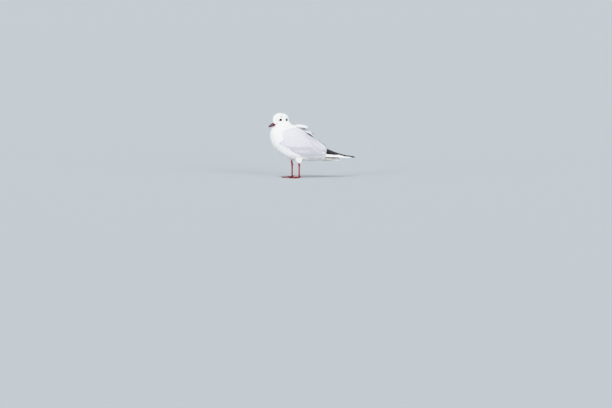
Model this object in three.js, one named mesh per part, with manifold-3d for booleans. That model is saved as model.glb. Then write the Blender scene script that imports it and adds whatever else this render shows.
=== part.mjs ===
// A black-headed gull in winter plumage, standing hunched with its wings folded, life size.
// Units are millimetres. +Z is up, the bird faces -Y and its left side is on +X.

import * as THREE from 'three';
import { mergeVertices } from 'three/addons/utils/BufferGeometryUtils.js';
import Module from 'manifold-3d';

const wasm = await Module();
wasm.setup();

// ---------------------------------------------------------------- driving dimensions

const GAP = 0.3; // clearance between neighbouring pieces

// Trunk: front of the breast, end of the rump, and where each end starts to round off.
const BREAST_Y = -93;
const RUMP_Y = 117;
const BREAST_ROUND = 44;
const RUMP_ROUND = 12;
const RUMP_LEAN = 0.26; // the back reaches further than the belly at the rear
const BODY_AXIS = [[-93, 155], [-50, 137], [-20, 126], [20, 115], [60, 97], [90, 83], [121, 79]];
const BACK_LINE = [
  [-93, 178], [-50, 183], [-10, 188], [5, 186], [18, 179], [41, 159], [73, 138], [96, 119.5], [117, 98],
];
const BELLY_LINE = [[-93, 101], [-60, 87], [-38, 75.5], [-16, 65], [20, 58.5], [70, 57.5], [121, 62]];
const BODY_HALF_WIDTH = [[-93, 45], [-50, 46.5], [-15, 51], [15, 49.5], [50, 41], [80, 30], [121, 16]];

// Neck: horizontal sections from inside the trunk up into the head.
const THROAT_LINE = [
  [146, -84], [162, -92], [171, -90], [178, -86.5], [182, -82], [186, -73], [192, -62], [208, -50],
];
const NAPE_LINE = [[146, 0], [172, -4], [183, -9], [188, -15], [196, -20.5], [208, -31]];
const NECK_HALF_WIDTH = [[146, 37], [165, 35], [178, 30], [190, 23.5], [208, 12]];

// Head, in its own frame: origin at the middle of the skull, turned a little to the bird's left.
const HEAD_CENTRE = new THREE.Vector3(0, -53, 205);
const HEAD_TURN = THREE.MathUtils.degToRad(4.5);
const FACE_Y = -30.5;
const SKULL_Y = 4;
const HINDHEAD_Y = 28;
const HEAD_HALF_WIDTH = 20.5;
const CROWN_HEIGHT = 24.8;

const EYE_RADIUS = 4.6;
const EYE_CENTRE = new THREE.Vector3(14.2, -8, 1.6);

// Bill: from the corner of the mouth to the tip, pitched down.
const BILL_LENGTH = 38;
const BILL_PITCH = THREE.MathUtils.degToRad(21);
const GAPE = new THREE.Vector3(0, -13.5, -10);
const CULMEN_HEIGHT = 5.6;
const LOWER_BILL_DEPTH = 4.2;
const BILL_HALF_WIDTH = 5.2;

// Folded wing: lower edge height by place along the body, and upper edge by distance from the midline.
const WING_LOWER_EDGE = [[-80, 128], [-50, 111], [-20, 97], [10, 78], [38, 65], [70, 63], [101, 68]];
const WING_UPPER_EDGE = [[-62, 33], [-30, 30], [10, 27], [41, 19], [73, 12], [114, 5]];
const WING_DEPTH = 3.2;
const WING_RELIEF = 1.8;

// Wing tip: the longest quill lies lowest, the shortest one nearest the back.
const PRIMARY_COUNT = 5;
const PRIMARY_ROOT_Y = 84;
const LONGEST_PRIMARY = { rootX: 19, rootZ: 76, tipX: 5.5, tipY: 221, tipZ: 69.5, width: 11 };
const SHORTEST_PRIMARY = { rootX: 10, rootZ: 93, tipX: 9.5, tipY: 129, tipZ: 88.5, width: 17 };
const PRIMARY_THICKNESS = 2;

// Shut tail: the middle pair of feathers on top, the outer pair lowest and a little shorter.
const TAIL_PAIRS = 5;
const TAIL_ROOT_Y = 78;
const TAIL_TIP_Y = 160.5;
const TAIL_FEATHER_WIDTH = 13;
const TAIL_FEATHER_THICKNESS = 1.8;

// Feathers that the wind has lifted, off the mantle and off the scapulars behind it.
const MANTLE_TUFT = {
  root: new THREE.Vector3(-3, -12, 183),
  tip: new THREE.Vector3(-3, 46, 181),
  spread: 19,
  count: 4,
  width: 23,
  arch: 4,
  skew: 2,
};
const SCAPULAR_TUFT = {
  root: new THREE.Vector3(-4, 12, 168),
  tip: new THREE.Vector3(-5, 76, 150.5),
  spread: 17,
  count: 4,
  width: 22,
  arch: 8,
  skew: 0,
};
const LIFTED_FEATHER_THICKNESS = 5;

// Legs: the bird's left one stands a little further back, and its thigh reaches lower.
const LEG_X = 19;
const LEG_Y = { left: 7.6, right: -6.5 };
const THIGH_END = { left: 51, right: 60 };
const HEEL_HEIGHT = 45.5;
const FOOT_TURN = THREE.MathUtils.degToRad(20);
const ANKLE_HEIGHT = 7;
const WEB_THICKNESS = 1.2;
const TOES = [
  { name: 'inner', angle: -31, length: 29, radius: 1.9 },
  { name: 'middle', angle: 0, length: 38, radius: 2.1 },
  { name: 'outer', angle: 29, length: 34.5, radius: 1.9 },
];
const CLAW_LENGTH = 5;

// ---------------------------------------------------------------- plumage, bill and leg finishes

const finishes = {
  white: { color: 0xf4f3f0, roughness: 0.9, metalness: 0 },
  grey: { color: 0xc3c7cf, roughness: 0.85, metalness: 0 },
  black: { color: 0x1b1b1e, roughness: 0.8, metalness: 0 },
  bill: { color: 0x7a1420, roughness: 0.45, metalness: 0 },
  leg: { color: 0x8c2228, roughness: 0.5, metalness: 0 },
  claw: { color: 0x1a1414, roughness: 0.4, metalness: 0 },
  eye: { color: 0x120a08, roughness: 0.1, metalness: 0 },
};

// ---------------------------------------------------------------- curves, lofts and booleans

// A smooth line through a few points that never overshoots them.
function lineThrough(points) {
  const slopes = points.slice(1).map(([x, y], i) => (y - points[i][1]) / (x - points[i][0]));
  const tangents = points.map((_, i) => {
    const before = slopes[Math.max(i - 1, 0)];
    const after = slopes[Math.min(i, slopes.length - 1)];
    return before * after <= 0 ? 0 : (2 * before * after) / (before + after);
  });
  return (x) => {
    const last = points.length - 1;
    let i = points.findIndex(([px]) => px > x) - 1;
    if (x <= points[0][0]) i = 0;
    if (x >= points[last][0]) i = last - 1;
    const span = points[i + 1][0] - points[i][0];
    const t = THREE.MathUtils.clamp((x - points[i][0]) / span, 0, 1);
    const [y0, y1] = [points[i][1], points[i + 1][1]];
    const [m0, m1] = [tangents[i] * span, tangents[i + 1] * span];
    const cubic = 2 * t ** 3 - 3 * t ** 2;
    return y0 * (cubic + 1) - y1 * cubic + m0 * (t ** 3 - 2 * t ** 2 + t) + m1 * (t ** 3 - t ** 2);
  };
}

const bodyAxis = lineThrough(BODY_AXIS);
const backLine = lineThrough(BACK_LINE);
const bellyLine = lineThrough(BELLY_LINE);
const bodyHalfWidth = lineThrough(BODY_HALF_WIDTH);
const throatLine = lineThrough(THROAT_LINE);
const napeLine = lineThrough(NAPE_LINE);
const neckHalfWidth = lineThrough(NECK_HALF_WIDTH);
const wingLowerEdge = lineThrough(WING_LOWER_EDGE);
const wingUpperEdge = lineThrough(WING_UPPER_EDGE);

// One side of a superellipse: how much is left of the half-width at a fraction of the half-height.
function rounded(fraction, power = 2) {
  return Math.pow(Math.max(0, 1 - Math.pow(Math.min(Math.abs(fraction), 1), power)), 1 / power);
}

function signedPower(value, power) {
  return Math.sign(value) * Math.pow(Math.abs(value), power);
}

function meshSolid(points, faces) {
  const vertProperties = new Float32Array(points.flatMap((p) => [p.x, p.y, p.z]));
  const geometry = new THREE.BufferGeometry();
  geometry.setAttribute('position', new THREE.BufferAttribute(vertProperties, 3));
  geometry.setIndex(faces.flat());
  return solidOf(geometry);
}

function solidOf(geometry) {
  geometry.deleteAttribute('normal');
  geometry.deleteAttribute('uv');
  const merged = mergeVertices(geometry, 1e-4);
  const position = merged.getAttribute('position').array;
  const index = Array.from(merged.getIndex().array);
  const triVerts = new Uint32Array(volumeOf(position, index) < 0 ? index.reverse() : index);
  const mesh = new wasm.Mesh({ numProp: 3, vertProperties: new Float32Array(position), triVerts });
  return new wasm.Manifold(mesh);
}

function volumeOf(position, index) {
  const [a, b, c] = [new THREE.Vector3(), new THREE.Vector3(), new THREE.Vector3()];
  let volume = 0;
  for (let i = 0; i < index.length; i += 3) {
    [a, b, c].forEach((corner, k) => corner.fromArray(position, index[i + k] * 3));
    volume += a.dot(b.cross(c)) / 6;
  }
  return volume;
}

// A closed surface through a row of rings, closed at each end by a fan to a pole.
function loft(rings, startPole = middleOf(rings[0]), endPole = middleOf(rings.at(-1))) {
  const around = rings[0].length;
  const points = [...rings.flat(), startPole, endPole];
  const [start, end] = [points.length - 2, points.length - 1];
  const lastRing = (rings.length - 1) * around;
  const faces = [];
  for (let i = 0; i < around; i++) {
    const next = (i + 1) % around;
    faces.push([start, next, i], [end, lastRing + i, lastRing + next]);
    for (let ring = 0; ring < lastRing; ring += around) {
      faces.push([ring + i, ring + next, ring + around + next]);
      faces.push([ring + i, ring + around + next, ring + around + i]);
    }
  }
  return meshSolid(points, faces);
}

function middleOf(ring) {
  return ring.reduce((sum, p) => sum.add(p), new THREE.Vector3()).divideScalar(ring.length);
}

// Stations from start to end that crowd towards both ends, as a rounded form needs.
function stations(start, end, count) {
  const places = [];
  for (let i = 0; i <= count; i++) {
    const share = (1 - Math.cos((Math.PI * i) / count)) / 2;
    places.push(start + (end - start) * share);
  }
  return places;
}

function largestPiece(solid) {
  return solid.decompose().reduce((best, piece) => (piece.volume() > best.volume() ? piece : best));
}

function cut(solid, ...cutters) {
  return largestPiece(cutters.reduce((left, cutter) => left.subtract(cutter), solid));
}

// A large box whose lower face passes through two points of the midline plane, for slicing.
function boxAbove([y1, z1], [y2, z2]) {
  const size = 600;
  const box = new THREE.BoxGeometry(size, size, size);
  box.translate(0, 0, size / 2);
  box.rotateX(Math.atan2(z2 - z1, y2 - y1));
  box.translate(0, (y1 + y2) / 2, (z1 + z2) / 2);
  return solidOf(box);
}

// ---------------------------------------------------------------- trunk, neck and head

function bodyCap(y) {
  const front = rounded((BREAST_Y + BREAST_ROUND - y) / BREAST_ROUND, 2.1);
  const rear = rounded((y - RUMP_Y + RUMP_ROUND) / RUMP_ROUND, 2.1);
  return (y < BREAST_Y + BREAST_ROUND ? front : 1) * (y > RUMP_Y - RUMP_ROUND ? rear : 1);
}

// A point on the trunk: angle 0 is the middle of the back, PI the middle of the belly.
function bodyPoint(y, angle, lift) {
  const cap = bodyCap(y);
  const axis = bodyAxis(y);
  const roof = 2 / THREE.MathUtils.mapLinear(THREE.MathUtils.clamp(y, 0, 100), 0, 100, 2.2, 1.75);
  const up = Math.cos(angle);
  const height = up > 0 ? (backLine(y) - axis) * cap + lift : (axis - bellyLine(y)) * cap + lift;
  const power = up > 0 ? roof : 0.92;
  const x = (bodyHalfWidth(y) * cap + lift) * signedPower(Math.sin(angle), power);
  const above = height * signedPower(up, power);
  const lean = RUMP_LEAN * THREE.MathUtils.smoothstep(y, 40, RUMP_Y);
  return new THREE.Vector3(x, y + above * lean, axis + above);
}

function bodySolid(lift) {
  const around = 24;
  const places = stations(BREAST_Y + 0.4, RUMP_Y - 0.2, 19);
  const rings = places.map((y) => {
    const ring = [];
    for (let i = 0; i < around; i++) ring.push(bodyPoint(y, (2 * Math.PI * i) / around, lift));
    return ring;
  });
  const front = new THREE.Vector3(0, BREAST_Y - lift, bodyAxis(BREAST_Y));
  const rear = new THREE.Vector3(0, RUMP_Y + lift, bodyAxis(RUMP_Y));
  return loft(rings, front, rear);
}

function neckSolid(lift) {
  const around = 22;
  const bottom = THROAT_LINE[0][0];
  const top = THROAT_LINE.at(-1)[0];
  const levels = 9;
  const rings = [];
  for (let k = 0; k <= levels; k++) {
    const z = bottom + ((top - bottom) * k) / levels;
    const middle = (throatLine(z) + napeLine(z)) / 2;
    const reach = (napeLine(z) - throatLine(z)) / 2 + lift;
    const width = neckHalfWidth(z) + lift;
    const ring = [];
    for (let i = 0; i < around; i++) {
      const angle = (2 * Math.PI * i) / around;
      const x = width * signedPower(Math.sin(angle), 0.95);
      ring.push(new THREE.Vector3(x, middle + reach * signedPower(Math.cos(angle), 0.95), z));
    }
    rings.push(ring);
  }
  return loft(rings);
}

function toHead(point) {
  return point.clone().applyAxisAngle(new THREE.Vector3(0, 0, 1), HEAD_TURN).add(HEAD_CENTRE);
}

// Half-width, crown height and chin depth of the head at a place along it.
function headSection(y) {
  const ahead = (SKULL_Y - y) / (SKULL_Y - FACE_Y);
  const behind = (y - SKULL_Y) / (HINDHEAD_Y - SKULL_Y);
  const crown = 1 + CROWN_HEIGHT * rounded((y + 2) / 30);
  if (y < SKULL_Y) {
    const width = 5.5 + (HEAD_HALF_WIDTH - 5.5) * (1 - Math.pow(ahead, 1.6));
    return { width, crown, chin: -10 - 14 * rounded(ahead), egg: THREE.MathUtils.lerp(2, 1.35, ahead) };
  }
  return { width: HEAD_HALF_WIDTH * rounded(behind), crown, chin: 1 - 25 * rounded(behind), egg: 2 };
}

function headSolid(lift) {
  const around = 20;
  const rings = stations(FACE_Y, HINDHEAD_Y - 0.3, 13).map((y) => {
    const { width, crown, chin, egg } = headSection(y);
    const level = THREE.MathUtils.clamp((crown + chin) / 2 + 1.5, chin, crown);
    const ring = [];
    for (let i = 0; i < around; i++) {
      const angle = (2 * Math.PI * i) / around;
      const up = Math.cos(angle);
      const power = up > 0 ? 0.94 : 2 / egg;
      const height = up > 0 ? crown - level + lift : level - chin + lift;
      const x = (width + lift) * signedPower(Math.sin(angle), power);
      ring.push(toHead(new THREE.Vector3(x, y, level + height * signedPower(up, power))));
    }
    return ring;
  });
  const face = toHead(new THREE.Vector3(0, FACE_Y - 0.8 - lift, -4));
  const hindhead = toHead(new THREE.Vector3(0, HINDHEAD_Y + lift, 1));
  return loft(rings, face, hindhead);
}

// ---------------------------------------------------------------- eyes and bill

function eyeSolid(side, grow) {
  const ball = new THREE.SphereGeometry(EYE_RADIUS + grow, 10, 7);
  const place = toHead(new THREE.Vector3(EYE_CENTRE.x * side, EYE_CENTRE.y, EYE_CENTRE.z));
  ball.translate(place.x, place.y, place.z);
  return solidOf(ball);
}

// A mandible is half a tapering cone: the flat side lies along the line where the bill shuts.
function mandibleSolid(direction, grow) {
  const upper = direction > 0;
  const steps = 10;
  const rings = [];
  for (let k = 0; k <= steps; k++) {
    const t = k / steps;
    const reach = BILL_LENGTH * (upper ? t : t * 0.96);
    const taper = Math.pow(Math.max(1 - Math.pow(t, upper ? 3.4 : 3), 0.004), 0.62);
    const height = (upper ? CULMEN_HEIGHT : LOWER_BILL_DEPTH) * taper + grow;
    const width = (BILL_HALF_WIDTH * (1 - 0.62 * t)) * Math.pow(Math.max(1 - t ** 5, 0.01), 0.5) + grow;
    const hook = -1.3 * Math.pow(reach / BILL_LENGTH, 7);
    const shut = direction * (GAP / 2 - grow) + hook;
    const ring = [];
    for (let i = 0; i <= 6; i++) {
      const angle = (Math.PI * i) / 6;
      ring.push(billPoint(reach, width * Math.cos(angle), shut + direction * height * Math.sin(angle)));
    }
    rings.push(ring);
  }
  return loft(rings);
}

function billPoint(along, across, up) {
  const y = GAPE.y - along * Math.cos(BILL_PITCH) - up * Math.sin(BILL_PITCH);
  const z = GAPE.z - along * Math.sin(BILL_PITCH) + up * Math.cos(BILL_PITCH);
  return toHead(new THREE.Vector3(across, y, z));
}

// ---------------------------------------------------------------- folded wings

// The angle round the trunk at which its side is at a given height, or a given distance from the midline.
function angleAtHeight(y, z) {
  return angleWhere((angle) => bodyPoint(y, angle, 0).z < z);
}

function angleAtReach(y, x) {
  return angleWhere((angle) => bodyPoint(y, angle, 0).x > x || angle > Math.PI / 2);
}

function angleWhere(passed) {
  let [low, high] = [0, Math.PI];
  for (let i = 0; i < 30; i++) {
    const middle = (low + high) / 2;
    if (passed(middle)) high = middle;
    else low = middle;
  }
  return low;
}

// u runs from the wrist to the tips of the inner quills, v from the lower edge to the upper one.
function wingPoint(side, u, v, lift, grow) {
  const edge = (v - 0.5) * 2;
  const yLow = THREE.MathUtils.lerp(WING_LOWER_EDGE[0][0], WING_LOWER_EDGE.at(-1)[0], u);
  const yTop = THREE.MathUtils.lerp(WING_UPPER_EDGE[0][0], WING_UPPER_EDGE.at(-1)[0], u);
  const low = angleAtHeight(yLow, wingLowerEdge(yLow));
  const high = angleAtReach(yTop, wingUpperEdge(yTop));
  const angle = THREE.MathUtils.lerp(low, high, v) - (edge * grow) / 40;
  const bulge = 3 * Math.sin(Math.PI * v);
  const y = THREE.MathUtils.lerp(yLow, yTop, v) + (u - 0.5) * 2 * (grow + bulge);
  const point = bodyPoint(y, angle, lift);
  return point.setX(point.x * side);
}

// The hollow that a wing lies in is the same form with its outside raised clear of the body.
function wingSolid(side, grow, raise = 0) {
  const along = 14;
  const across = 6;
  const rings = [];
  for (let i = 0; i <= along; i++) {
    const u = i / along;
    const outer = [];
    const inner = [];
    for (let j = 0; j <= across; j++) {
      const v = j / across;
      const fullness = Math.sqrt(Math.sin(Math.PI * THREE.MathUtils.clamp(v, 0.04, 0.96)));
      const ends = rounded(2 * u - 1, 6);
      outer.push(wingPoint(side, u, v, 0.8 + WING_RELIEF * fullness * ends + grow + raise, grow));
      inner.push(wingPoint(side, u, v, -WING_DEPTH - grow, grow));
    }
    rings.push([...outer, ...inner.reverse()]);
  }
  return loft(rings);
}

// ---------------------------------------------------------------- long feathers

// A feather blade: a thin, slightly arched plate with a rounded end.
function blade({ root, tip, up, width, thickness, arch = 0, blunt = 0.75, steps = 6 }) {
  const along = new THREE.Vector3().subVectors(tip, root);
  const across = new THREE.Vector3().crossVectors(along, up).normalize();
  const normal = new THREE.Vector3().crossVectors(across, along).normalize();
  const rings = [];
  for (let i = 0; i <= steps; i++) {
    const t = 1 - Math.pow(1 - i / steps, 1.5);
    const widening = 0.72 + 0.28 * Math.min(t * 2, 1);
    const end = rounded(Math.max(t - blunt, 0) / (1 - blunt), 2);
    const half = Math.max((width / 2) * widening * end, 0.9);
    const rise = arch * Math.sin(Math.PI * t);
    const middle = root.clone().addScaledVector(along, t).addScaledVector(normal, rise);
    const ring = [[-1, 0.3], [0, 0.5], [1, 0.3], [0, -0.5]].map(([side, level]) => {
      return middle.clone().addScaledVector(across, side * half).addScaledVector(normal, level * thickness);
    });
    rings.push(ring);
  }
  return loft(rings);
}

function joined(solids) {
  return largestPiece(solids.reduce((sum, solid) => sum.add(solid)));
}

// One wing tip. The shorter quills fall back from the longest one quickly and then evenly.
function primariesSolid(side) {
  const [from, to] = [LONGEST_PRIMARY, SHORTEST_PRIMARY];
  const quills = [];
  for (let i = 0; i < PRIMARY_COUNT; i++) {
    const t = i / (PRIMARY_COUNT - 1);
    const tipY = THREE.MathUtils.lerp(from.tipY, to.tipY, Math.pow(t, 0.8));
    const tipZ = THREE.MathUtils.lerp(from.tipZ, to.tipZ, Math.pow(t, 1.35));
    const tip = new THREE.Vector3(side * THREE.MathUtils.lerp(from.tipX, to.tipX, t), tipY, tipZ);
    const rootX = side * THREE.MathUtils.lerp(from.rootX, to.rootX, t);
    const root = new THREE.Vector3(rootX, PRIMARY_ROOT_Y, THREE.MathUtils.lerp(from.rootZ, to.rootZ, t));
    const up = new THREE.Vector3(side * 0.72, 0, 0.69);
    const width = THREE.MathUtils.lerp(from.width, to.width, t);
    quills.push(blade({ root, tip, up, width, thickness: PRIMARY_THICKNESS, arch: 1.5, blunt: 0.8, steps: 5 }));
  }
  return joined(quills);
}

function tailSolid() {
  const feathers = [];
  for (let i = 0; i < TAIL_PAIRS; i++) {
    const t = i / (TAIL_PAIRS - 1);
    for (const side of [-1, 1]) {
      const root = new THREE.Vector3(side * (2 + 5 * t), TAIL_ROOT_Y, 69.5 - 2.6 * t);
      const tip = new THREE.Vector3(side * (3 + 14 * t), TAIL_TIP_Y - 3 * t * t, 61.6 - 3.6 * t);
      const up = new THREE.Vector3(side * 0.12 * t, 0, 1);
      const [width, thickness] = [TAIL_FEATHER_WIDTH, TAIL_FEATHER_THICKNESS];
      feathers.push(blade({ root, tip, up, width, thickness, blunt: 0.86, steps: 3 }));
    }
  }
  return joined(feathers);
}

// A tuft of lifted feathers: overlapping blades that spread from one root.
function liftedFeathers({ root, tip, spread, count, width, arch, skew }) {
  const feathers = [];
  for (let i = 0; i < count; i++) {
    const s = (2 * i) / (count - 1) - 1;
    const from = root.clone().add(new THREE.Vector3(s * spread * 0.7, 0, -2.5 * s * s));
    const to = tip.clone().add(new THREE.Vector3(s * spread + skew, -9 * s * s, -6 * s * s));
    const up = new THREE.Vector3(s * 0.35, 0, 1);
    const thickness = LIFTED_FEATHER_THICKNESS;
    feathers.push(blade({ root: from, tip: to, up, width, thickness, arch, blunt: 0.6 }));
  }
  return joined(feathers);
}

// ---------------------------------------------------------------- legs and feet

function thighSolid(side, bottom) {
  const y = side > 0 ? LEG_Y.left : LEG_Y.right;
  const rings = [0, 0.25, 0.5, 0.75, 0.92, 1].map((t) => {
    const z = THREE.MathUtils.lerp(84, bottom, t);
    const size = THREE.MathUtils.lerp(19, 7.5, Math.pow(t, 1.2)) * (t > 0.95 ? 0.62 : 1);
    return ellipseRing(side * LEG_X, y - 3.5 * (1 - t), z, size * 0.8, size, 12);
  });
  return loft(rings);
}

function ellipseRing(x, y, z, halfX, halfY, around) {
  const ring = [];
  for (let i = 0; i < around; i++) {
    const angle = (2 * Math.PI * i) / around;
    ring.push(new THREE.Vector3(x + halfX * Math.sin(angle), y + halfY * Math.cos(angle), z));
  }
  return ring;
}

// The bare leg: slim shank, knobbly heel joint, and the bare end of the drumstick above it.
function shankSolid(side, grow) {
  const y = side > 0 ? LEG_Y.left : LEG_Y.right;
  const heights = [ANKLE_HEIGHT + GAP, 12, 20, 32, 39, 43, HEEL_HEIGHT, 48, 52, 58, 66];
  const rings = heights.map((z) => {
    const knob = Math.exp(-(((z - HEEL_HEIGHT) / 3.6) ** 2));
    const foot = Math.exp(-(((z - ANKLE_HEIGHT) / 4) ** 2));
    const above = z > HEEL_HEIGHT ? 0.45 : 0;
    const halfX = 1.55 + 1.1 * knob + 0.5 * foot + above + grow;
    const halfY = 2.05 + 1.15 * knob + 0.5 * foot + above + grow;
    const lean = Math.max(z - HEEL_HEIGHT, 0) * -0.16;
    return ellipseRing(side * LEG_X, y + lean + 0.5 * knob, z, halfX, halfY, 8);
  });
  return loft(rings);
}

// Foot frame: x to the side, y back, origin under the shank.
function onFoot(side, x, y, z) {
  const legY = side > 0 ? LEG_Y.left : LEG_Y.right;
  const turned = new THREE.Vector3(x, y, z).applyAxisAngle(new THREE.Vector3(0, 0, 1), FOOT_TURN);
  return turned.add(new THREE.Vector3(side * LEG_X, legY, 0));
}

// A point at a distance along a toe, where outer means away from the bird's midline.
function toePlace(side, toe, distance) {
  const angle = THREE.MathUtils.degToRad(toe.angle) * side;
  return [Math.sin(angle) * distance, -Math.cos(angle) * distance];
}

function toeSolid(side, toe) {
  const joints = toe.name === 'middle' ? 3 : 4;
  const rings = [];
  const steps = 5;
  const angle = THREE.MathUtils.degToRad(toe.angle) * side;
  for (let i = 0; i <= steps; i++) {
    const t = i / steps;
    const swell = 1 + 0.14 * Math.cos(2 * Math.PI * joints * t);
    const end = rounded(Math.max(t - 0.9, 0) / 0.1);
    const radius = toe.radius * THREE.MathUtils.lerp(1.2, 0.8, t) * swell * Math.max(end, 0.45);
    const [x, y] = toePlace(side, toe, toe.length * t);
    const ring = [];
    for (let k = 0; k < 6; k++) {
      const turn = (2 * Math.PI * (k + 0.5)) / 6;
      const across = radius * Math.sin(turn);
      const up = Math.max(radius * 1.7 * (Math.cos(turn) + 0.86), 0);
      ring.push(onFoot(side, x + across * Math.cos(angle), y + across * Math.sin(angle), up * 0.55));
    }
    rings.push(ring);
  }
  return loft(rings);
}

// The web reaches from claw to claw with a shallow hollow between the toes.
function webSolid(side) {
  const outline = new THREE.Shape();
  const [inner, middle, outer] = TOES.map((toe) => toePlace(side, toe, toe.length * 0.94));
  const between = (a, b, depth) => [((a[0] + b[0]) / 2) * depth, ((a[1] + b[1]) / 2) * depth];
  outline.moveTo(0, 3);
  outline.lineTo(...inner);
  outline.quadraticCurveTo(...between(inner, middle, 0.84), ...middle);
  outline.quadraticCurveTo(...between(middle, outer, 0.84), ...outer);
  outline.closePath();
  const settings = { depth: WEB_THICKNESS, bevelEnabled: false, curveSegments: 6 };
  const web = new THREE.ExtrudeGeometry(outline, settings);
  web.rotateZ(FOOT_TURN);
  web.translate(side * LEG_X, side > 0 ? LEG_Y.left : LEG_Y.right, 0);
  return solidOf(web);
}

function ankleSolid(side) {
  const rings = [[0, 3.1], [2.5, 3.4], [5, 3], [ANKLE_HEIGHT, 2.4]].map(([z, size]) => {
    const middle = onFoot(side, 0, 0.4, z);
    return ellipseRing(middle.x, middle.y, z, size * 0.85, size, 8);
  });
  return loft(rings);
}

function footSolid(side) {
  return joined([ankleSolid(side), webSolid(side), ...TOES.map((toe) => toeSolid(side, toe))]);
}

function clawSolid(side, toe) {
  const angle = THREE.MathUtils.degToRad(toe.angle) * side;
  const steps = 3;
  const rings = [];
  for (let i = 0; i <= steps; i++) {
    const t = i / steps;
    const radius = Math.max(1.15 * (1 - t * 0.8), 0.25);
    const [x, y] = toePlace(side, toe, toe.length + GAP + CLAW_LENGTH * t);
    const level = 1.35 + 0.5 * Math.sin(Math.PI * t * 0.8) - 0.9 * t * t;
    const ring = [];
    for (let k = 0; k < 6; k++) {
      const turn = (2 * Math.PI * k) / 6;
      const across = radius * 0.8 * Math.sin(turn);
      const z = level + radius * Math.cos(turn);
      ring.push(onFoot(side, x + across * Math.cos(angle), y + across * Math.sin(angle), z));
    }
    rings.push(ring);
  }
  return loft(rings);
}

function hindToeSolid(side) {
  const rings = [];
  const steps = 4;
  for (let i = 0; i <= steps; i++) {
    const t = i / steps;
    const radius = Math.max(1.35 * (1 - 0.35 * t) * rounded(Math.max(t - 0.75, 0) / 0.25), 0.4);
    const y = 3.9 + 5.4 * t;
    const level = 5.4 - 1.6 * t;
    const ring = [];
    for (let k = 0; k < 6; k++) {
      const turn = (2 * Math.PI * k) / 6;
      const x = radius * Math.sin(turn) - side * 0.8;
      ring.push(onFoot(side, x, y, level + radius * Math.cos(turn)));
    }
    rings.push(ring);
  }
  return loft(rings);
}

// ---------------------------------------------------------------- the bird

const bird = new THREE.Group();

function addPart(name, solid, finish) {
  const { vertProperties, triVerts } = solid.getMesh();
  const geometry = new THREE.BufferGeometry();
  geometry.setAttribute('position', new THREE.BufferAttribute(new Float32Array(vertProperties), 3));
  geometry.setIndex(new THREE.BufferAttribute(new Uint32Array(triVerts), 1));
  geometry.computeVertexNormals();
  const part = new THREE.Mesh(geometry, new THREE.MeshStandardMaterial(finishes[finish]));
  part.name = name;
  bird.add(part);
}

const SIDES = { left: 1, right: -1 };
const HOLLOW_CLEARANCE = 6; // a wing's hollow stays open this far outside the wing
const wingHollows = Object.values(SIDES).map((side) => wingSolid(side, GAP, HOLLOW_CLEARANCE));
const wingsGrown = Object.values(SIDES).map((side) => wingSolid(side, 2 * GAP));
const wingEnds = wingsGrown.map((wing) => wing.translate([0, 2 * GAP, 0]));
const eyeHollows = Object.values(SIDES).map((side) => eyeSolid(side, GAP));
const bodyGrown = bodySolid(GAP);

// Head, neck and trunk are shaped whole, then parted along two planes.
const flesh = bodySolid(0).add(neckSolid(0)).add(headSolid(0));
const aboveThroat = boxAbove([-80, 179], [-20, 196]);
const aboveShoulders = boxAbove([-93, 151], [-14, 188.5]);
const headCut = aboveThroat.translate([0, 0, GAP]);
const neckCut = aboveShoulders.translate([0, 0, GAP]);

addPart('head', cut(flesh.intersect(headCut), ...eyeHollows), 'white');
addPart('neck', cut(flesh.intersect(neckCut), aboveThroat, ...wingHollows), 'white');
addPart('trunk', cut(flesh, aboveShoulders, ...wingHollows), 'white');

const faceGrown = headSolid(GAP).add(neckSolid(GAP));
addPart('bill_upper', cut(mandibleSolid(1, 0), faceGrown), 'bill');
addPart('bill_lower', cut(mandibleSolid(-1, 0), faceGrown), 'bill');

addPart('mantle_feathers', cut(liftedFeathers(MANTLE_TUFT), bodyGrown, ...wingsGrown), 'grey');
addPart('scapular_feathers', cut(liftedFeathers(SCAPULAR_TUFT), bodyGrown, ...wingsGrown), 'grey');

const primaries = { left: primariesSolid(1), right: primariesSolid(-1) };
addPart('tail', cut(tailSolid(), bodyGrown, ...wingsGrown, primaries.left, primaries.right), 'white');

for (const [name, side] of Object.entries(SIDES)) {
  addPart(`eye_${name}`, eyeSolid(side, 0), 'eye');
  addPart(`wing_${name}`, wingSolid(side, 0), 'grey');
  addPart(`primaries_${name}`, cut(primaries[name], bodyGrown, ...wingsGrown, ...wingEnds), 'black');
  const thigh = cut(thighSolid(side, THIGH_END[name]), bodyGrown, ...wingsGrown, shankSolid(side, GAP));
  addPart(`thigh_${name}`, thigh, 'white');
  addPart(`shank_${name}`, cut(shankSolid(side, 0), bodyGrown), 'leg');
  addPart(`foot_${name}`, footSolid(side), 'leg');
  addPart(`hind_toe_${name}`, hindToeSolid(side), 'leg');
  for (const toe of TOES) addPart(`claw_${toe.name}_${name}`, clawSolid(side, toe), 'claw');
}

// The origin is under the middle of the bird, on the floor.
const bounds = new THREE.Box3().setFromObject(bird);
const middle = bounds.getCenter(new THREE.Vector3());
bird.position.set(-middle.x, -middle.y, -bounds.min.z);

export default bird;
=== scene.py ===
import math

import bmesh
import bpy
import numpy as np
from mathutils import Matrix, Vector
from mathutils.bvhtree import BVHTree


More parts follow.
